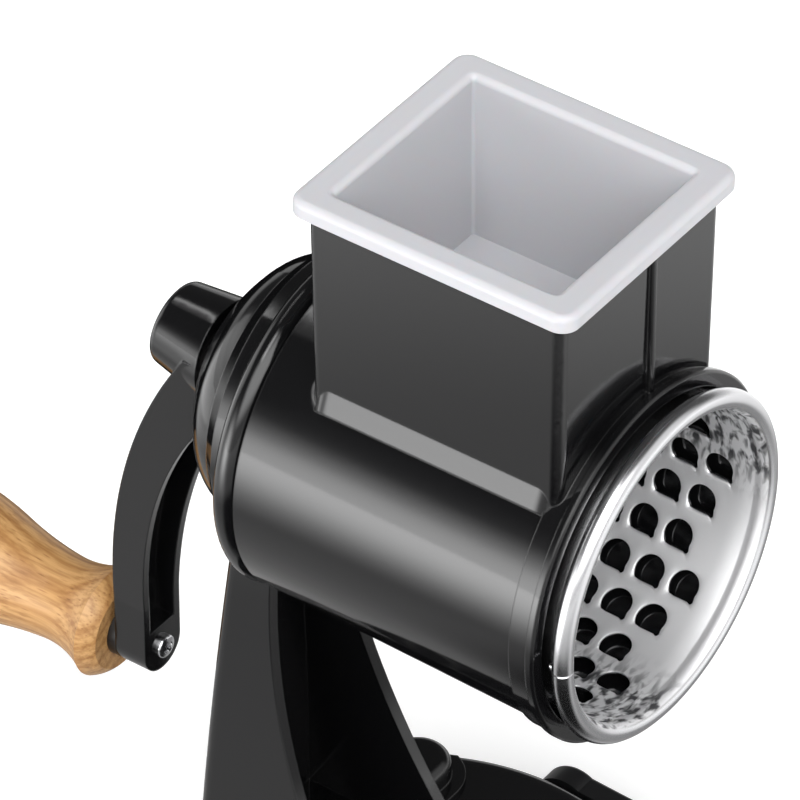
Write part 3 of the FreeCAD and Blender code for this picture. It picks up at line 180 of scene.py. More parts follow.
def tumbled_stainless():
    """Patterns lie in x and the angle around the axis. The bead is smoother and a little greyer,
    and grey spots of painted reflection lie on the sheet alone, away from the plain side."""
    made, tree, surface = new_material("tumbled_stainless")
    place = add(tree, "ShaderNodeTexCoord").outputs["Object"]
    from_axis = add(tree, "ShaderNodeMapping", inputs={
        "Vector": place, "Location": (0, -AXIS_Y, -AXIS_Z)})
    x, y, z = add(tree, "ShaderNodeSeparateXYZ", inputs={"Vector": from_axis}).outputs
    outwards = add(tree, "ShaderNodeCombineXYZ", inputs={"Y": y, "Z": z})
    radius = add(tree, "ShaderNodeVectorMath", {"operation": "LENGTH"},
                 {0: outwards}).outputs["Value"]
    turn = add(tree, "ShaderNodeMath", {"operation": "ARCTAN2"}, {0: z, 1: y})
    unrolled = add(tree, "ShaderNodeCombineXYZ", inputs={"X": x, "Y": turn})
    for_lines = add(tree, "ShaderNodeMapping", inputs={
        "Vector": unrolled, "Scale": (1, BEAD_OUTER * LINE_PITCH / LINE_RUN, 1)})
    lines = add(tree, "ShaderNodeTexNoise", inputs={
        "Vector": for_lines, "Scale": 1 / LINE_PITCH, "Detail": 2.0})
    # painted reflection: grey spots stand in for the dark mottle that the wavy sheet mirrors
    for_reflection_spots = add(tree, "ShaderNodeMapping", inputs={
        "Vector": unrolled, "Scale": (1, BEAD_OUTER * REFLECTION_SPOT_RUN, 1)})
    skin = add(tree, "ShaderNodeTexNoise", inputs={
        "Vector": for_reflection_spots, "Scale": 1 / REFLECTION_SPOT_WIDTH, "Detail": 2.0, "Distortion": 0.4})
    reflection_spots = add(tree, "ShaderNodeMapRange", {"interpolation_type": "SMOOTHSTEP"}, {
        "Value": skin, "From Min": REFLECTION_SPOT_EDGE[0], "From Max": REFLECTION_SPOT_EDGE[1]})
    from_plain_side = add(tree, "ShaderNodeMath", {"operation": "SUBTRACT"}, {0: turn, 1: PLAIN_SIDE_TURN})
    nearness = add(tree, "ShaderNodeMath", {"operation": "COSINE"}, {0: from_plain_side})
    painted_reflection_side = add(tree, "ShaderNodeMapRange", {"interpolation_type": "SMOOTHSTEP"}, {
        "Value": nearness, "From Min": PAINTED_REFLECTION_START[0], "From Max": PAINTED_REFLECTION_START[1]})
    on_sheet = add(tree, "ShaderNodeMapRange", inputs={
        "Value": radius, "From Min": SHEET_FROM[0], "From Max": SHEET_FROM[1],
        "To Max": painted_reflection_side})
    # the spots' grey is painted reflection, mixed into the sheet's own colour
    painted_reflection_share = add(tree, "ShaderNodeMath", {"operation": "MULTIPLY"}, {0: on_sheet, 1: reflection_spots})
    with_painted_reflection = add(tree, "ShaderNodeMix", {"data_type": "RGBA"}, {
        "Factor": painted_reflection_share, 6: linear("#f4f4f5"), 7: linear("#5a5a5c")})
    bead = add(tree, "ShaderNodeMapRange", inputs={
        "Value": radius, "From Min": BEAD_FROM[0], "From Max": BEAD_FROM[1]})
    tint = add(tree, "ShaderNodeMix", {"data_type": "RGBA"}, {
        "Factor": bead, 6: with_painted_reflection.outputs[2], 7: linear("#cbcbcd")})
    worn = add(tree, "ShaderNodeMapRange", inputs={
        "Value": bead, "To Min": SATIN_ROUGHNESS, "To Max": RUBBED_ROUGHNESS})
    relief = add(tree, "ShaderNodeBump", inputs={
        "Strength": 0.12, "Distance": LINE_DEPTH, "Height": lines})
    metal = add(tree, "ShaderNodeBsdfPrincipled", inputs={
        "Base Color": tint.outputs[2], "Metallic": 1.0, "Roughness": worn, "Normal": relief})
    tree.links.new(metal.outputs["BSDF"], surface)
    return made


# %% [markdown]
# ## Beech
# The grip is turned from steamed beech and oiled. The growth layers are cylinders around the middle
# of the tree, which lay beside the grip, so they run straight along it and come out as arcs where
# the turned shape cuts across them. Fine grain runs the same way, and beech has its mark, the ray
# fleck: short thin dark dashes. Oil makes the skin a little glossy.

# %% Beech
LAYER_PITCH = 4.2 * MM
TREE_MIDDLE = (0, -34 * MM, 128 * MM)
# a Wave node turns its coordinates into an angle with a factor of 20
WAVE_SCALE = math.tau / 20 / LAYER_PITCH
# real grain is finer than a millimetre, and is drawn at 1.1 mm so that it shows
GRAIN_PITCH = 1.1 * MM
GRAIN_DEPTH = 0.1 * MM
FLECK_WIDTH = 0.3 * MM
FLECK_PITCH = 4 * FLECK_WIDTH
# a dash fades between these distances from its middle, in pitches, from this strength to none
FLECK_EDGE = (0.08, 0.26)
FLECK_SHARE = 0.5
# width of each pattern as a share of its length along the grip
LAYER_RUN = 0.3
GRAIN_RUN = 0.05
FLECK_RUN = 0.12


def oiled_beech():
    """Rings around the tree's middle, times stretched noise for the grain, times small stretched
    cells for the ray fleck."""
    made, tree, surface = new_material("oiled_beech")
    place = add(tree, "ShaderNodeTexCoord").outputs["Object"]
    for_layers = add(tree, "ShaderNodeMapping", inputs={
        "Vector": place, "Location": [-c for c in TREE_MIDDLE], "Scale": (LAYER_RUN, 1, 1)})
    layers = add(tree, "ShaderNodeTexWave", {"wave_type": "RINGS", "rings_direction": "X"}, {
        "Vector": for_layers, "Scale": WAVE_SCALE, "Distortion": 1.2, "Detail": 1.0,
        "Detail Scale": 0.8}).outputs["Fac"]
    for_grain = add(tree, "ShaderNodeMapping", inputs={
        "Vector": place, "Scale": (GRAIN_RUN, 1, 1)})
    grain = add(tree, "ShaderNodeTexNoise", inputs={
        "Vector": for_grain, "Scale": 1 / GRAIN_PITCH, "Detail": 4.0})
    for_fleck = add(tree, "ShaderNodeMapping", inputs={
        "Vector": place, "Scale": (FLECK_RUN, 1, 1)})
    dashes = add(tree, "ShaderNodeTexVoronoi", inputs={
        "Vector": for_fleck, "Scale": 1 / FLECK_PITCH})
    fleck = add(tree, "ShaderNodeMapRange", inputs={
        "Value": dashes, "From Min": FLECK_EDGE[0], "From Max": FLECK_EDGE[1],
        "To Min": FLECK_SHARE, "To Max": 0.0})
    base = add(tree, "ShaderNodeValToRGB", inputs={"Fac": layers}, steps=[
        (0.0, "#bd935f"), (0.7, "#b88d5a"), (0.9, "#ae824f"), (1.0, "#a97c4a")])
    fine = add(tree, "ShaderNodeValToRGB", inputs={"Fac": grain}, steps=[
        (0.34, "#cdbcaa"), (0.6, "#ffffff")])
    lined = add(tree, "ShaderNodeMix", {"data_type": "RGBA", "blend_type": "MULTIPLY"},
                {"Factor": 0.8, 6: base, 7: fine})
    flecked = add(tree, "ShaderNodeMix", {"data_type": "RGBA", "blend_type": "MULTIPLY"},
                  {"Factor": fleck, 6: lined.outputs[2], 7: linear("#a97f58")})
    relief = add(tree, "ShaderNodeBump", inputs={
        "Strength": 0.25, "Distance": GRAIN_DEPTH, "Height": grain})
    wood = add(tree, "ShaderNodeBsdfPrincipled", inputs={
        "Base Color": flecked.outputs[2], "Roughness": 0.4, "IOR": 1.5, "Normal": relief})
    tree.links.new(wood.outputs["BSDF"], surface)
    return made


# %% [markdown]
# ## Moulded plastics, rubber and plated steel
# The pusher is moulded polypropylene: milky light grey, with a silky skin that the mould's fine
# spark-eroded texture leaves. The suction lever and the collar beside the grip are black plastic,
# the cup is matt rubber and the bushes are nylon. The shaft, the spindle and most screws are
# zinc-plated steel.

# %% Plastics, rubber and zinc
GLOW_DEPTH = 2 * MM
SPANGLE = 1.5 * MM


def moulded(name, colour, roughness, texture_length, texture_depth, glow=0.0):
    """A moulded skin: fine noise in the bump, and for milky plastic some light from within."""
    made, tree, surface = new_material(name)
    place = add(tree, "ShaderNodeTexCoord").outputs["Object"]
    skin = add(tree, "ShaderNodeTexNoise", inputs={
        "Vector": place, "Scale": 1 / texture_length, "Detail": 2.0})
    relief = add(tree, "ShaderNodeBump", inputs={
        "Strength": 0.3, "Distance": texture_depth, "Height": skin})
    body = add(tree, "ShaderNodeBsdfPrincipled", inputs={
        "Base Color": linear(colour), "Roughness": roughness, "IOR": 1.49,
        "Subsurface Weight": glow, "Subsurface Scale": GLOW_DEPTH, "Normal": relief})
    tree.links.new(body.outputs["BSDF"], surface)
    return made


def zinc_plate():
    """Satin metal, its grey moved up and down by noise as large as the zinc's grains."""
    made, tree, surface = new_material("zinc_plated_steel")
    place = add(tree, "ShaderNodeTexCoord").outputs["Object"]
    spangle = add(tree, "ShaderNodeTexNoise", inputs={
        "Vector": place, "Scale": 1 / SPANGLE, "Detail": 3.0})
    tint = add(tree, "ShaderNodeValToRGB", inputs={"Fac": spangle}, steps=[
        (0.35, "#a9abae"), (0.65, "#c6c8ca")])
    metal = add(tree, "ShaderNodeBsdfPrincipled", inputs={
        "Base Color": tint, "Metallic": 1.0, "Roughness": 0.32})
    tree.links.new(metal.outputs["BSDF"], surface)
    return made


# a moulded finish is its colour, roughness, length and depth of the mould's texture, and glow
FINISHES = {
    "black_enamel": black_enamel(),
    "stainless_sheet": tumbled_stainless(),
    "beech": oiled_beech(),
    "grey_plastic": moulded("milky_polypropylene", "#b6b6ba", 0.38, 0.8 * MM, 0.02 * MM, 0.15),
    "black_plastic": moulded("black_abs", "#111112", 0.35, 0.8 * MM, 0.02 * MM),
    "black_rubber": moulded("matt_black_rubber", "#141414", 0.75, 0.6 * MM, 0.05 * MM),
    "white_nylon": moulded("natural_nylon", "#e9e8e2", 0.4, 0.8 * MM, 0.01 * MM),
    "zinc_steel": zinc_plate(),
}
print("finishes:", ", ".join(sorted(FINISHES)))

# %% Give every node of the frame its finish
for part in frame["record"]["subparts"]:
    mesh = nodes[part["node"]].data
    mesh.materials.clear()
    mesh.materials.append(FINISHES[part["material_slot"]])

# %% [markdown]
# ## From numpy grids to pieces
# A surface of two parameters is a grid of points. Rows and columns of the grid become quads, and a
# grid that closes on itself joins its last column to its first. One function makes the quads and
# another puts points and faces into a mesh that rides on a body of the frame.

# %% Mesh helpers
def grid_quads(rows, columns, close_columns=False):
    """Quads of a grid, point (r, c) being number r*columns + c."""
    r = np.arange(rows - 1)[:, None]
    c = np.arange(columns if close_columns else columns - 1)[None, :]
    c_next = (c + 1) % columns
    corners = [r * columns + c, r * columns + c_next, (r + 1) * columns + c_next,
               (r + 1) * columns + c]
    return np.stack([np.broadcast_to(k, (r.size, c.size)) for k in corners], -1).reshape(-1, 4)


def piece(name, points, quads, body, slot, weld, sharp_degrees=35.0):
    """A mesh piece from points in the row frame, riding on a body, with a record's finish.
    Points nearer to each other than weld become one, and faces turn outwards."""
    mesh = bpy.data.meshes.new(name)
    mesh.from_pydata(points.tolist(), [], quads.tolist())
    work = bmesh.new()
    work.from_mesh(mesh)
    bmesh.ops.remove_doubles(work, verts=work.verts, dist=weld)
    bmesh.ops.recalc_face_normals(work, faces=work.faces)
    work.to_mesh(mesh)
    open_edges = sum(not edge.is_manifold for edge in work.edges)
    work.free()
    mesh.shade_smooth()
    mesh.set_sharp_from_angle(angle=math.radians(sharp_degrees))
    mesh.materials.append(FINISHES[slot])
    made = bpy.data.objects.new(name, mesh)
    bpy.context.scene.collection.objects.link(made)
    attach(made, body)
    print(name, len(mesh.vertices), "points,", len(mesh.polygons), "faces,",
          open_edges, "open edges")
    return made


# %% [markdown]
# ## The punched drum
# The sheet is worked out flat first, as it lies in the press: x runs along the drum and s around
# it. Each punch mark is a round hole with one straight side, where the cutting edge stands up, and
# a tooth-shaped notch in one corner. A hole fills one cell of a lattice, and each row of cells is
# shifted by a third of the pitch against the row before it. All cells have their corners and edge
# points on one finer lattice, so neighbours share points and the sheet has no cracks. Rolled up, x
# stays and s becomes an angle.

# %% Sizes of the punched sheet
SHEET_THICK = 0.7 * MM
# the pattern: a hole's radius, the first one's place behind the mouth, their pitch along the drum,
# rows around it, holes in a row, the rows after which the stagger repeats, and where row 0 lies
HOLE_RADIUS = 4.35 * MM
HOLE_FIRST = 13.5 * MM
HOLE_PITCH = 11.1 * MM
HOLE_ROWS = 24
HOLE_COLUMNS = 7
HOLE_PHASES = 3
HOLE_TURN = math.radians(-4.3)
# steps of the lattice along one side of a cell
STEPS = 12
# one hole: its flat side from the middle, its notch, and how far edge, lip and burr rise or sink
FLAT_SIDE = 3.2 * MM
NOTCH_PLACE = (3.45 * MM, 2.75 * MM)
NOTCH_RADIUS = 0.9 * MM
EDGE_CURL = 0.2 * MM
LIP_RISE = 0.8 * MM
LIP_START = 0.25
LIP_SPREAD = 0.5
BURR_RISE = 0.5 * MM
BURR_TURN = math.radians(131)
BURR_SPREAD = math.radians(9)
# worked out from these
ROW_TURN = math.tau / HOLE_ROWS
ROW_ARC = SHEET_INNER * ROW_TURN
FIRST_X = MOUTH_X - HOLE_FIRST
FRONT_EDGE_X = FIRST_X + HOLE_PITCH / 2
PHASE_STEPS = STEPS // HOLE_PHASES
BAND_STEPS = STEPS * HOLE_COLUMNS + PHASE_STEPS * (HOLE_PHASES - 1)
REAR_EDGE_X = FRONT_EDGE_X - BAND_STEPS * HOLE_PITCH / STEPS
print(HOLE_ROWS * HOLE_COLUMNS, "holes, rows", round(ROW_ARC / MM, 2), "mm apart")


# %% One cell: a hole and the sheet around it
def hole_reach(direction):
    """Distance from a hole's middle to its edge: the circle, cut by the flat side, with the notch.
    The notch is the far crossing of a ray with a small circle: along + sqrt(r^2 - aside^2)."""
    toward_x, toward_s = np.cos(direction), np.sin(direction)
    outline = FLAT_SIDE / np.maximum(toward_s, FLAT_SIDE / HOLE_RADIUS)
    along = toward_x * NOTCH_PLACE[0] + toward_s * NOTCH_PLACE[1]
    aside = toward_x * NOTCH_PLACE[1] - toward_s * NOTCH_PLACE[0]
    within = NOTCH_RADIUS ** 2 - aside ** 2
    notch = np.where((within > 0) & (along > 0), along + np.sqrt(np.maximum(within, 0)), 0)
    return np.maximum(outline, notch)


# each ring's share of the way from the hole's edge to the cell's border, its depth in the sheet
# and how much of the edge's rise it takes: inner face, bevelled edge, rim, outer face
CELL_RINGS = np.array([
    (1.0, 0.0, 0.0), (0.4, 0.0, 0.08), (0.12, 0.0, 0.45), (0.03, 0.0, 0.85),
    (0.0, 0.2, 1.0), (0.0, 1.0, 1.0), (0.4, 1.0, 0.08), (1.0, 1.0, 0.0)])


def cell():
    """x, s and radius of a cell's rings of points, around the hole's middle. A ring lies a share of
    the way from the hole's edge to the cell's border; the lip rises with the sine of the direction,
    and the burr sinks as a bell curve around its own."""
    side = np.arange(STEPS) / STEPS - 0.5
    half = np.full(STEPS, 0.5)
    border_x = np.concatenate([side, half, -side, -half]) * HOLE_PITCH
    border_s = np.concatenate([-half, side, half, -side]) * ROW_ARC
    direction = np.arctan2(border_s, border_x)
    hole_x, hole_s = hole_reach(direction) * [np.cos(direction), np.sin(direction)]
    share, depth, take = CELL_RINGS.T[:, :, None]
    lip = LIP_RISE * np.clip((np.sin(direction) - LIP_START) / LIP_SPREAD, 0, 1)
    burr = BURR_RISE * np.exp(-((direction - BURR_TURN) / BURR_SPREAD) ** 2)
    rise = EDGE_CURL + lip - burr
    return (hole_x + share * (border_x - hole_x), hole_s + share * (border_s - hole_s),
            SHEET_INNER + depth * SHEET_THICK + take * rise)


def on_drum(x, turn, radius):
    """Points at a place along the axis, an angle from +Y towards +Z, and a radius."""
    x, turn, radius = np.broadcast_arrays(x, turn, radius)
    return np.stack([x, AXIS_Y + radius * np.cos(turn), AXIS_Z + radius * np.sin(turn)], -1)


# %% The punched band: all cells, and the plain strips that even out the stagger
def punched_band():
    """Points and quads of every cell: one cell moved by whole pitches and turned by whole rows."""
    ring_x, ring_s, ring_radius = cell()
    rings, around = ring_x.shape
    row, column = np.indices((HOLE_ROWS, HOLE_COLUMNS)).reshape(2, -1, 1, 1)
    phase = (-row) % HOLE_PHASES / HOLE_PHASES
    points = on_drum(FIRST_X - (column + phase) * HOLE_PITCH + ring_x,
                     row * ROW_TURN + HOLE_TURN - ring_s / SHEET_INNER, ring_radius)
    starts = np.arange(len(points))[:, None, None] * (rings * around)
    quads = grid_quads(rings, around, close_columns=True) + starts
    return points.reshape(-1, 3), quads.reshape(-1, 4)


def lattice_turns(count, first=0):
    """Angles of the lattice's lines around the drum, from the border of row 0."""
    return (first - 0.5 + np.arange(count) / STEPS) * ROW_TURN + HOLE_TURN


def plain_strip(row, first, last):
    """Both faces of one row's sheet between two steps along the drum."""
    x = FRONT_EDGE_X - np.arange(first, last + 1)[:, None] * HOLE_PITCH / STEPS
    faces = [on_drum(x, lattice_turns(STEPS + 1, row), radius).reshape(-1, 3)
             for radius in (SHEET_INNER, SHEET_INNER + SHEET_THICK)]
    quads = grid_quads(last - first + 1, STEPS + 1)
    return np.concatenate(faces), np.concatenate([quads, quads + len(faces[0])])


# %% [markdown]
# ## Bead, rear end and seam
# In front the sheet is rolled outwards into a bead, with a narrow groove where the roll starts. The
# drum is one strip closed by a seam. The seam crosses the bead as a fine V, so the lattice line
# next to it moves onto the seam, and its neighbours close up beside it. Behind the bead, a small
# rounded tab holds the two ends of the strip together.

# %% Bead and rear end
SEAM_TURN = math.radians(183)
SEAM_HALF = math.radians(0.35)
SEAM_DEPTH = 0.35 * MM
BEAD_MIDDLE = BEAD_OUTER - BEAD_ROUND
BEAD_POINTS = 26
GROOVE_BACK = np.array([1.1, 0.9, 0.45, 0.15]) * MM
GROOVE_DEPTH = 0.08 * MM
EDGE_BREAK = 0.12 * MM


def bead_profile():
    """x from the mouth plane, radius, and how far a ring follows the seam, from 0 on the sheet to 1
    on the bead: sheet, groove, a circle r*cos, R + r*sin of the sweep, sheet."""
    meets_inside = math.asin((SHEET_INNER - BEAD_MIDDLE) / BEAD_ROUND)
    meets_outside = math.asin((BEAD_MIDDLE - SHEET_INNER - SHEET_THICK) / BEAD_ROUND)
    sweep = np.linspace(-math.pi - meets_inside, math.pi + meets_outside, BEAD_POINTS)
    circle = np.stack([BEAD_ROUND * np.cos(sweep), BEAD_MIDDLE + BEAD_ROUND * np.sin(sweep),
                       np.ones(BEAD_POINTS)], 1)
    groove = np.stack([circle[0, 0] - GROOVE_BACK,
                       SHEET_INNER + np.array([0, 1, 1, 0]) * GROOVE_DEPTH,
                       np.array([0.2, 0.4, 0.6, 0.8])], 1)
    start = [(FRONT_EDGE_X - MOUTH_X, SHEET_INNER, 0)]
    end = [(FRONT_EDGE_X - MOUTH_X, SHEET_INNER + SHEET_THICK, 0)]
    return np.concatenate([start, groove, circle, end])


def bead_and_seam():
    """Points and quads of the rolled bead, a closed loop of profiles around the drum. On the seam
    the profile's circle is smaller by SEAM_DEPTH."""
    profile = bead_profile()
    x, radius, share = profile.T[:, :, None]
    turns = lattice_turns(HOLE_ROWS * STEPS)
    nearest = np.argmin(np.abs(turns - SEAM_TURN))
    shift = np.zeros_like(turns)
    beside = nearest + np.array([-1, 0, 1])
    shift[beside] = SEAM_TURN + SEAM_HALF * np.array([-1, 0, 1]) - turns[beside]
    dip = np.zeros_like(turns)
    dip[nearest] = SEAM_DEPTH / BEAD_ROUND
    shrink = 1 - (share == 1) * dip
    points = on_drum(MOUTH_X + x * shrink, turns + share * shift,
                     np.where(share == 1, BEAD_MIDDLE + (radius - BEAD_MIDDLE) * shrink, radius))
    return points.reshape(-1, 3), grid_quads(len(profile), len(turns), close_columns=True)


def rear_end():
    """Points and quads of the plain sheet behind the last holes, closed at the drum's rear end."""
    outer = SHEET_INNER + SHEET_THICK
    x = np.array([REAR_EDGE_X, DRUM_REAR_X + EDGE_BREAK, DRUM_REAR_X, DRUM_REAR_X,
                  DRUM_REAR_X + EDGE_BREAK, REAR_EDGE_X])[:, None]
    radius = np.array([SHEET_INNER, SHEET_INNER, SHEET_INNER + EDGE_BREAK, outer - EDGE_BREAK,
                       outer, outer])[:, None]
    turns = lattice_turns(HOLE_ROWS * STEPS)
    return (on_drum(x, turns, radius).reshape(-1, 3),
            grid_quads(len(x), len(turns), close_columns=True))


# %% Seam tab
TAB_HALF = (1.2 * MM, 1.1 * MM, 1.4 * MM)
TAB_SQUARENESS = 0.35
TAB_X = MOUTH_X - 2.5 * MM
TAB_POINTS = 20


def seam_tab():
    """A rounded block behind the bead: cos and sin of two angles, each raised to a small power."""
    up = np.linspace(-math.pi / 2, math.pi / 2, TAB_POINTS // 2)[:, None]
    turn = np.arange(TAB_POINTS)[None, :] * math.tau / TAB_POINTS

    def squared(value):
        return np.sign(value) * np.abs(value) ** TAB_SQUARENESS

    x, across, out = [half * direction for half, direction in zip(TAB_HALF, (
        squared(np.cos(up)) * squared(np.cos(turn)), squared(np.cos(up)) * squared(np.sin(turn)),
        squared(np.sin(up)) + 0 * turn))]
    points = on_drum(TAB_X + x, SEAM_TURN + across / BEAD_MIDDLE, BEAD_MIDDLE + out)
    return points.reshape(-1, 3), grid_quads(TAB_POINTS // 2, TAB_POINTS, close_columns=True)


# %% Join the drum's parts into one closed sheet
def joined(parts):
    """Stacks several (points, quads) into one, numbering the quads on."""
    sizes = np.cumsum([0] + [len(points) for points, quads in parts])
    return (np.concatenate([points for points, quads in parts]),
            np.concatenate([quads + start for (points, quads), start in zip(parts, sizes)]))


sheet_parts = [punched_band(), bead_and_seam(), rear_end(), seam_tab()]
for row in range(HOLE_ROWS):
    first_cell = (-row) % HOLE_PHASES * PHASE_STEPS
    last_cell = first_cell + STEPS * HOLE_COLUMNS
    sheet_parts += [plain_strip(row, *ends) for ends in ((0, first_cell), (last_cell, BAND_STEPS))
                    if ends[0] < ends[1]]
drum_sheet = piece("punched_drum", *joined(sheet_parts), "drum", "stainless_sheet",
                   weld=0.002 * MM, sharp_degrees=32)
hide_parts("drum_shell")

# %% [markdown]
# ## The crank's screw
# A pan-head screw with a cross recess holds the grip's spindle. The head is a disc of rings whose
# height is the pan's curve, minus the recess: two crossed slots with steep walls, deepest in the
# middle. Its axis and its ends come from the frame.

# %% Cross-recessed screw
HEAD_RADIUS = 3.5 * MM
HEAD_HEIGHT = 2.2 * MM
SHANK_RADIUS = 2.0 * MM
CROWN = 0.45 * MM
HEAD_ROUND = 0.8 * MM
ROUND_POINTS = 5
SLOT_HALF = 0.5 * MM
SLOT_REACH = 1.9 * MM
SLOT_WALL = 0.2 * MM
SLOT_DEPTH = 1.3 * MM
SLOT_TAPER = 1.8
SLOT_TURN = math.radians(28)
SCREW_RINGS = 26
SCREW_SPOKES = 64


def recess_depth(y, z):
    """Depth of the cross recess: the deeper of two slots, each a product of two clipped slopes."""
    turned_y = y * math.cos(SLOT_TURN) + z * math.sin(SLOT_TURN)
    turned_z = z * math.cos(SLOT_TURN) - y * math.sin(SLOT_TURN)

    def slot(along, across):
        inside = np.clip((SLOT_HALF - np.abs(across)) / SLOT_WALL + 0.5, 0, 1)
        return inside * np.clip((SLOT_REACH - np.abs(along)) / SLOT_REACH * SLOT_TAPER, 0, 1)

    return SLOT_DEPTH * np.maximum(slot(turned_y, turned_z), slot(turned_z, turned_y))


def cross_screw():
    """Rings of points from the middle of the head over its rim and down the shank to its end."""
    low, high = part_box("handle_screw")
    share = np.linspace(0, 1, SCREW_RINGS)
    crown_radius = share * (HEAD_RADIUS - HEAD_ROUND)
    crown_x = high.x - CROWN * share ** 2
    bend = np.linspace(0, math.pi / 2, ROUND_POINTS + 1)[1:]
    rim_radius = HEAD_RADIUS - HEAD_ROUND + HEAD_ROUND * np.sin(bend)
    rim_x = crown_x[-1] - HEAD_ROUND * (1 - np.cos(bend))
    below = high.x - HEAD_HEIGHT
    radius = np.concatenate([
        crown_radius, rim_radius, [HEAD_RADIUS, SHANK_RADIUS, SHANK_RADIUS, 0]])
    x = np.concatenate([crown_x, rim_x, [below, below, low.x, low.x]])
    spokes = np.arange(SCREW_SPOKES) * math.tau / SCREW_SPOKES
    y = radius[:, None] * np.cos(spokes)
    z = radius[:, None] * np.sin(spokes)
    on_crown = (np.arange(len(radius)) < SCREW_RINGS)[:, None]
    points = np.stack([x[:, None] - on_crown * recess_depth(y, z), y + (low.y + high.y) / 2,
                       z + (low.z + high.z) / 2], -1)
    return points.reshape(-1, 3), grid_quads(len(radius), SCREW_SPOKES, close_columns=True)


screw = piece("cross_recessed_screw", *cross_screw(), "crank", "stainless_sheet", weld=0.002 * MM)
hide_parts("handle_screw")

# %% [markdown]
# ## The studio
# The object stands on a white floor, in front of a white backdrop that ends in a dark ceiling. Soft
# boxes are painted in the world by direction. Black enamel is a mirror, so they are shaped by what
# it should show: a very soft one low in front for the broad band along the barrel, a panel behind
# on the left for the crescent on the dome, and thin strips up there for the fine lines of the hub.
# The broad box above and behind the viewer looks into the drum and fills it with light.

# %% Light boxes by direction
# cosine of the widest angle from a box's middle at which the box is still looked for
FACING = 0.05


def light_box(tree, direction, azimuth, elevation, width, height, edge, strength):
    """Radiance of a soft-edged rectangle seen in a direction: strength times two smooth steps.
    Angles in degrees; width, height and edge are angles too."""
    a, e = math.radians(azimuth), math.radians(elevation)
    ahead = Vector((math.cos(a) * math.cos(e), math.sin(a) * math.cos(e), math.sin(e)))
    side = Vector((-math.sin(a), math.cos(a), 0))
    above = ahead.cross(side)
    depth = add(tree, "ShaderNodeVectorMath", {"operation": "DOT_PRODUCT"},
                {0: direction, 1: ahead}).outputs["Value"]
    mask = add(tree, "ShaderNodeMath", {"operation": "GREATER_THAN"}, {0: depth, 1: FACING})
    for axis, extent in ((side, width), (above, height)):
        offset = add(tree, "ShaderNodeVectorMath", {"operation": "DOT_PRODUCT"},
                     {0: direction, 1: axis}).outputs["Value"]
        slope = add(tree, "ShaderNodeMath", {"operation": "DIVIDE"}, {0: offset, 1: depth})
        size = add(tree, "ShaderNodeMath", {"operation": "ABSOLUTE"}, {0: slope})
        step = add(tree, "ShaderNodeMapRange", {"interpolation_type": "SMOOTHSTEP"}, {
            "Value": size, "From Min": math.tan(math.radians(extent / 2 + edge)),
            "From Max": math.tan(math.radians(max(extent / 2 - edge, 0)))})
        mask = add(tree, "ShaderNodeMath", {"operation": "MULTIPLY"}, {0: mask, 1: step})
    return add(tree, "ShaderNodeMath", {"operation": "MULTIPLY"}, {0: mask, 1: strength})


def total_light(tree, direction, boxes):
    """Sum of the radiance of several boxes in one direction."""
    total = 0.0
    for box in boxes:
        total = add(tree, "ShaderNodeMath", {"operation": "ADD"}, {
            0: total, 1: light_box(tree, direction, *box)})
    return total


# azimuth and elevation of the middle, width, height, softness of the edge, radiance
LIGHT_BOXES = [
    (-112, -1, 18, 12, 19, 6.8),    # low in front: the middle of the barrel's band
    (-112, -1, 26, 10, 30, 1.2),    # and the soft sides of that band
    (190, 4, 36, 46, 2, 1.2),       # panel behind on the left: the crescent on the dome
    (190, 18, 30, 10, 12, 1.4),     # and its brighter upper part
    (-98, 65, 13, 18, 3, 9.0),      # small box high in front: glints on rounded rims
    (168, 54.5, 22, 1.2, 0.5, 9.0),  # two strips: the thin lines on the hub
    (172, 59, 22, 1.2, 0.5, 9.0),
    (-54, 42, 70, 46, 12, 5.4),     # broad box by the viewer: the inside of the drum
    (25, 25, 60, 50, 14, 1.2),      # ahead of the mouth: edges that face up and forward
]
# the white backdrop ends in the dark ceiling between these two elevations
BACKDROP_TOP = (6.0, 13.0)
STUDIO_DARK = 0.12

world = bpy.data.worlds.new("studio")
bpy.context.scene.world = world
world.use_nodes = True
sky = world.node_tree
sky.nodes.clear()
sight = add(sky, "ShaderNodeTexCoord").outputs["Generated"]
rise = add(sky, "ShaderNodeSeparateXYZ", inputs={"Vector": sight}).outputs["Z"]
backdrop = add(sky, "ShaderNodeMapRange", {"interpolation_type": "SMOOTHSTEP"}, {
    "Value": rise, "From Min": math.sin(math.radians(BACKDROP_TOP[0])),
    "From Max": math.sin(math.radians(BACKDROP_TOP[1])), "To Min": 1.0, "To Max": STUDIO_DARK})
radiance = add(sky, "ShaderNodeMath", {"operation": "ADD"}, {
    0: backdrop, 1: total_light(sky, sight, LIGHT_BOXES)})
glow = add(sky, "ShaderNodeBackground", inputs={"Strength": radiance})
add(sky, "ShaderNodeOutputWorld", inputs={"Surface": glow})
print("studio:", len(LIGHT_BOXES), "light boxes")

# %% [markdown]
# ## The floor
# A white matt table that carries the object's shadow. Camera, mirrors and glass all see the same
# extra lift to paper white. A mirror also sees the light boxes go on below the horizon, as a
# polished table would show them, and what lies outside the picture to keep the gloss deep: a grey
# runner around the object, and black cards for the dome and for the front edges.

# %% Floor
FLOOR_HALF = 6.0
# the boxes and cards are placed as seen from this height, the middle of the object
EYE_LEVEL = 0.19
FLOOR_LIFT = 0.4
# the runner darkens between these two elevations, by this share
RUNNER_EDGE = (-22.0, -33.0)
RUNNER_DARK = 0.55
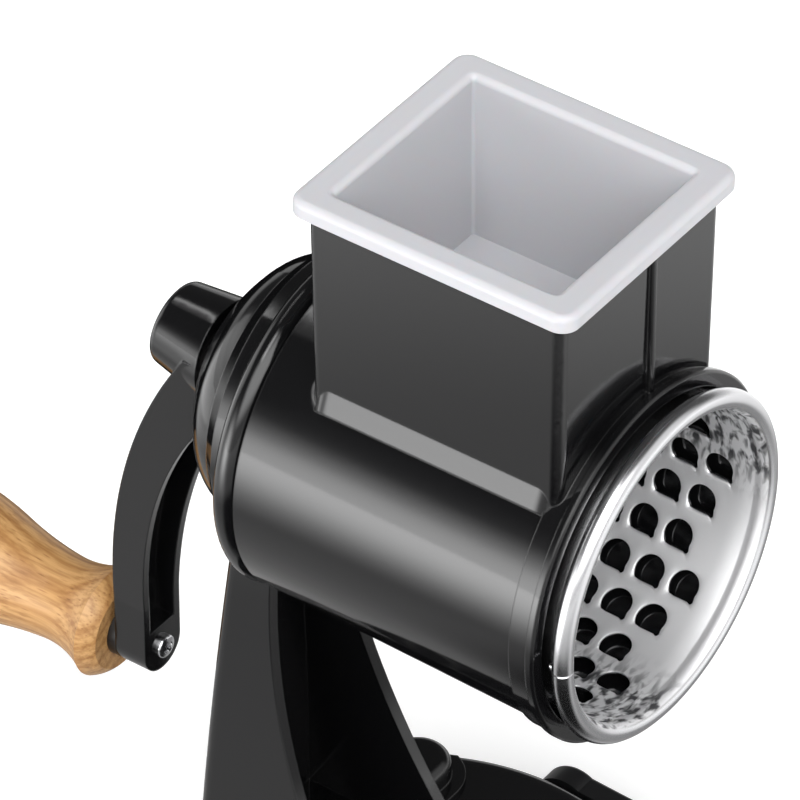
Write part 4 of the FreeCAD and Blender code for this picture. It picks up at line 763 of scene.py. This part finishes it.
# as the light boxes, with a share of cover in place of the radiance
DARK_CARDS = [
    (-48, -40, 70, 60, 12, 0.5),
    (148, -20, 50, 44, 6, 1.0),
    (58, -38, 56, 50, 10, 0.22),
]
floor_mesh = bpy.data.meshes.new("studio_floor")
floor_mesh.from_pydata([(-FLOOR_HALF, -FLOOR_HALF, 0), (FLOOR_HALF, -FLOOR_HALF, 0),
                        (FLOOR_HALF, FLOOR_HALF, 0), (-FLOOR_HALF, FLOOR_HALF, 0)], [],
                       [(0, 1, 2, 3)])
floor = bpy.data.objects.new("studio_floor", floor_mesh)
bpy.context.scene.collection.objects.link(floor)
floor_paint, tree, surface = new_material("white_studio_table")
floor_mesh.materials.append(floor_paint)
place = add(tree, "ShaderNodeTexCoord").outputs["Object"]
from_eye = add(tree, "ShaderNodeVectorMath", {"operation": "SUBTRACT"},
               {0: place, 1: (0, 0, EYE_LEVEL)})
toward = add(tree, "ShaderNodeVectorMath", {"operation": "NORMALIZE"}, {0: from_eye})
rays = add(tree, "ShaderNodeLightPath").outputs
in_mirror = rays["Is Glossy Ray"]
looked_at = in_mirror
for other in (rays["Is Camera Ray"], rays["Is Transmission Ray"]):
    looked_at = add(tree, "ShaderNodeMath", {"operation": "MAXIMUM"}, {0: looked_at, 1: other})
lift = add(tree, "ShaderNodeMath", {"operation": "MULTIPLY"}, {0: looked_at, 1: FLOOR_LIFT})
mirrored = add(tree, "ShaderNodeMath", {"operation": "MULTIPLY"}, {
    0: in_mirror, 1: total_light(tree, toward, LIGHT_BOXES)})
extra = add(tree, "ShaderNodeMath", {"operation": "ADD"}, {0: lift, 1: mirrored})
lifted = add(tree, "ShaderNodeEmission", inputs={"Strength": extra})
matt = add(tree, "ShaderNodeBsdfDiffuse", inputs={"Color": linear("#e6e6e6")})
plain = add(tree, "ShaderNodeAddShader", inputs={0: matt, 1: lifted})
down = add(tree, "ShaderNodeSeparateXYZ", inputs={"Vector": toward}).outputs["Z"]
runner = add(tree, "ShaderNodeMapRange", {"interpolation_type": "SMOOTHSTEP"}, {
    "Value": down, "From Min": math.sin(math.radians(RUNNER_EDGE[0])),
    "From Max": math.sin(math.radians(RUNNER_EDGE[1])), "To Max": RUNNER_DARK})
dimmed = add(tree, "ShaderNodeMath", {"operation": "ADD"}, {
    0: runner, 1: total_light(tree, toward, DARK_CARDS)})
covered = add(tree, "ShaderNodeMath", {"operation": "MULTIPLY"}, {0: in_mirror, 1: dimmed})
card = add(tree, "ShaderNodeBsdfDiffuse", inputs={"Color": linear("#0c0c0c")})
shown = add(tree, "ShaderNodeMixShader", inputs={0: covered, 1: plain, 2: card})
tree.links.new(shown.outputs[0], surface)
print("floor:", 2 * FLOOR_HALF, "m square, with", len(DARK_CARDS), "dark cards")

# %% [markdown]
# ## A fill light
# The painted boxes light the matt pieces as well as the gloss. One large weak lamp overhead adds to
# them for the pusher, the grip and the floor, and is left out of the reflections, so that the
# enamel stays deep.

# %% Fill light
FILL_SIZE = 2.4
FILL_PLACE = (0.2, -0.3, 1.8)
FILL_WATTS = 5.0
fill_lamp = bpy.data.lights.new("overhead_fill", "AREA")
fill_lamp.shape = "SQUARE"
fill_lamp.size = FILL_SIZE
fill_lamp.energy = FILL_WATTS
fill = bpy.data.objects.new("overhead_fill", fill_lamp)
fill.location = FILL_PLACE
fill.visible_glossy = False
fill.visible_camera = False
bpy.context.scene.collection.objects.link(fill)
print("fill light:", FILL_WATTS, "W from", FILL_PLACE[2], "m above")

# %% [markdown]
# ## The camera
# A long lens from the front right, well above the object, as a catalogue shot is taken. Its place
# is given by the way it looks and how far it stands from the middle of the drum's mouth.

# %% Camera
CAMERA_AZIMUTH = 35.834
CAMERA_ELEVATION = 39.449
CAMERA_DISTANCE = 2.1179
AIM_RIGHT = -69.26 * MM
AIM_UP = 43.26 * MM
SENSOR = 36.0
LENS = 366.5
VIEW_END = 50.0
turn = math.radians(CAMERA_AZIMUTH)
tilt = math.radians(CAMERA_ELEVATION)
looks = Vector((-math.sin(turn) * math.cos(tilt), math.cos(turn) * math.cos(tilt), -math.sin(tilt)))
across = Vector((math.cos(turn), math.sin(turn), 0))
upwards = across.cross(looks)
mouth = Vector((MOUTH_X, AXIS_Y, AXIS_Z))
stands_at = mouth + across * AIM_RIGHT + upwards * AIM_UP - looks * CAMERA_DISTANCE
camera_data = bpy.data.cameras.new("catalogue_camera")
camera_data.sensor_width = SENSOR
camera_data.lens = LENS
camera_data.clip_end = VIEW_END
camera = bpy.data.objects.new("catalogue_camera", camera_data)
camera.matrix_world = Matrix.Translation(stands_at) @ Matrix(
    (across, upwards, -looks)).transposed().to_4x4()
bpy.context.scene.collection.objects.link(camera)
bpy.context.scene.camera = camera
bpy.context.scene.view_settings.view_transform = "Standard"
print("camera stands at", [round(value, 3) for value in stands_at], "m")
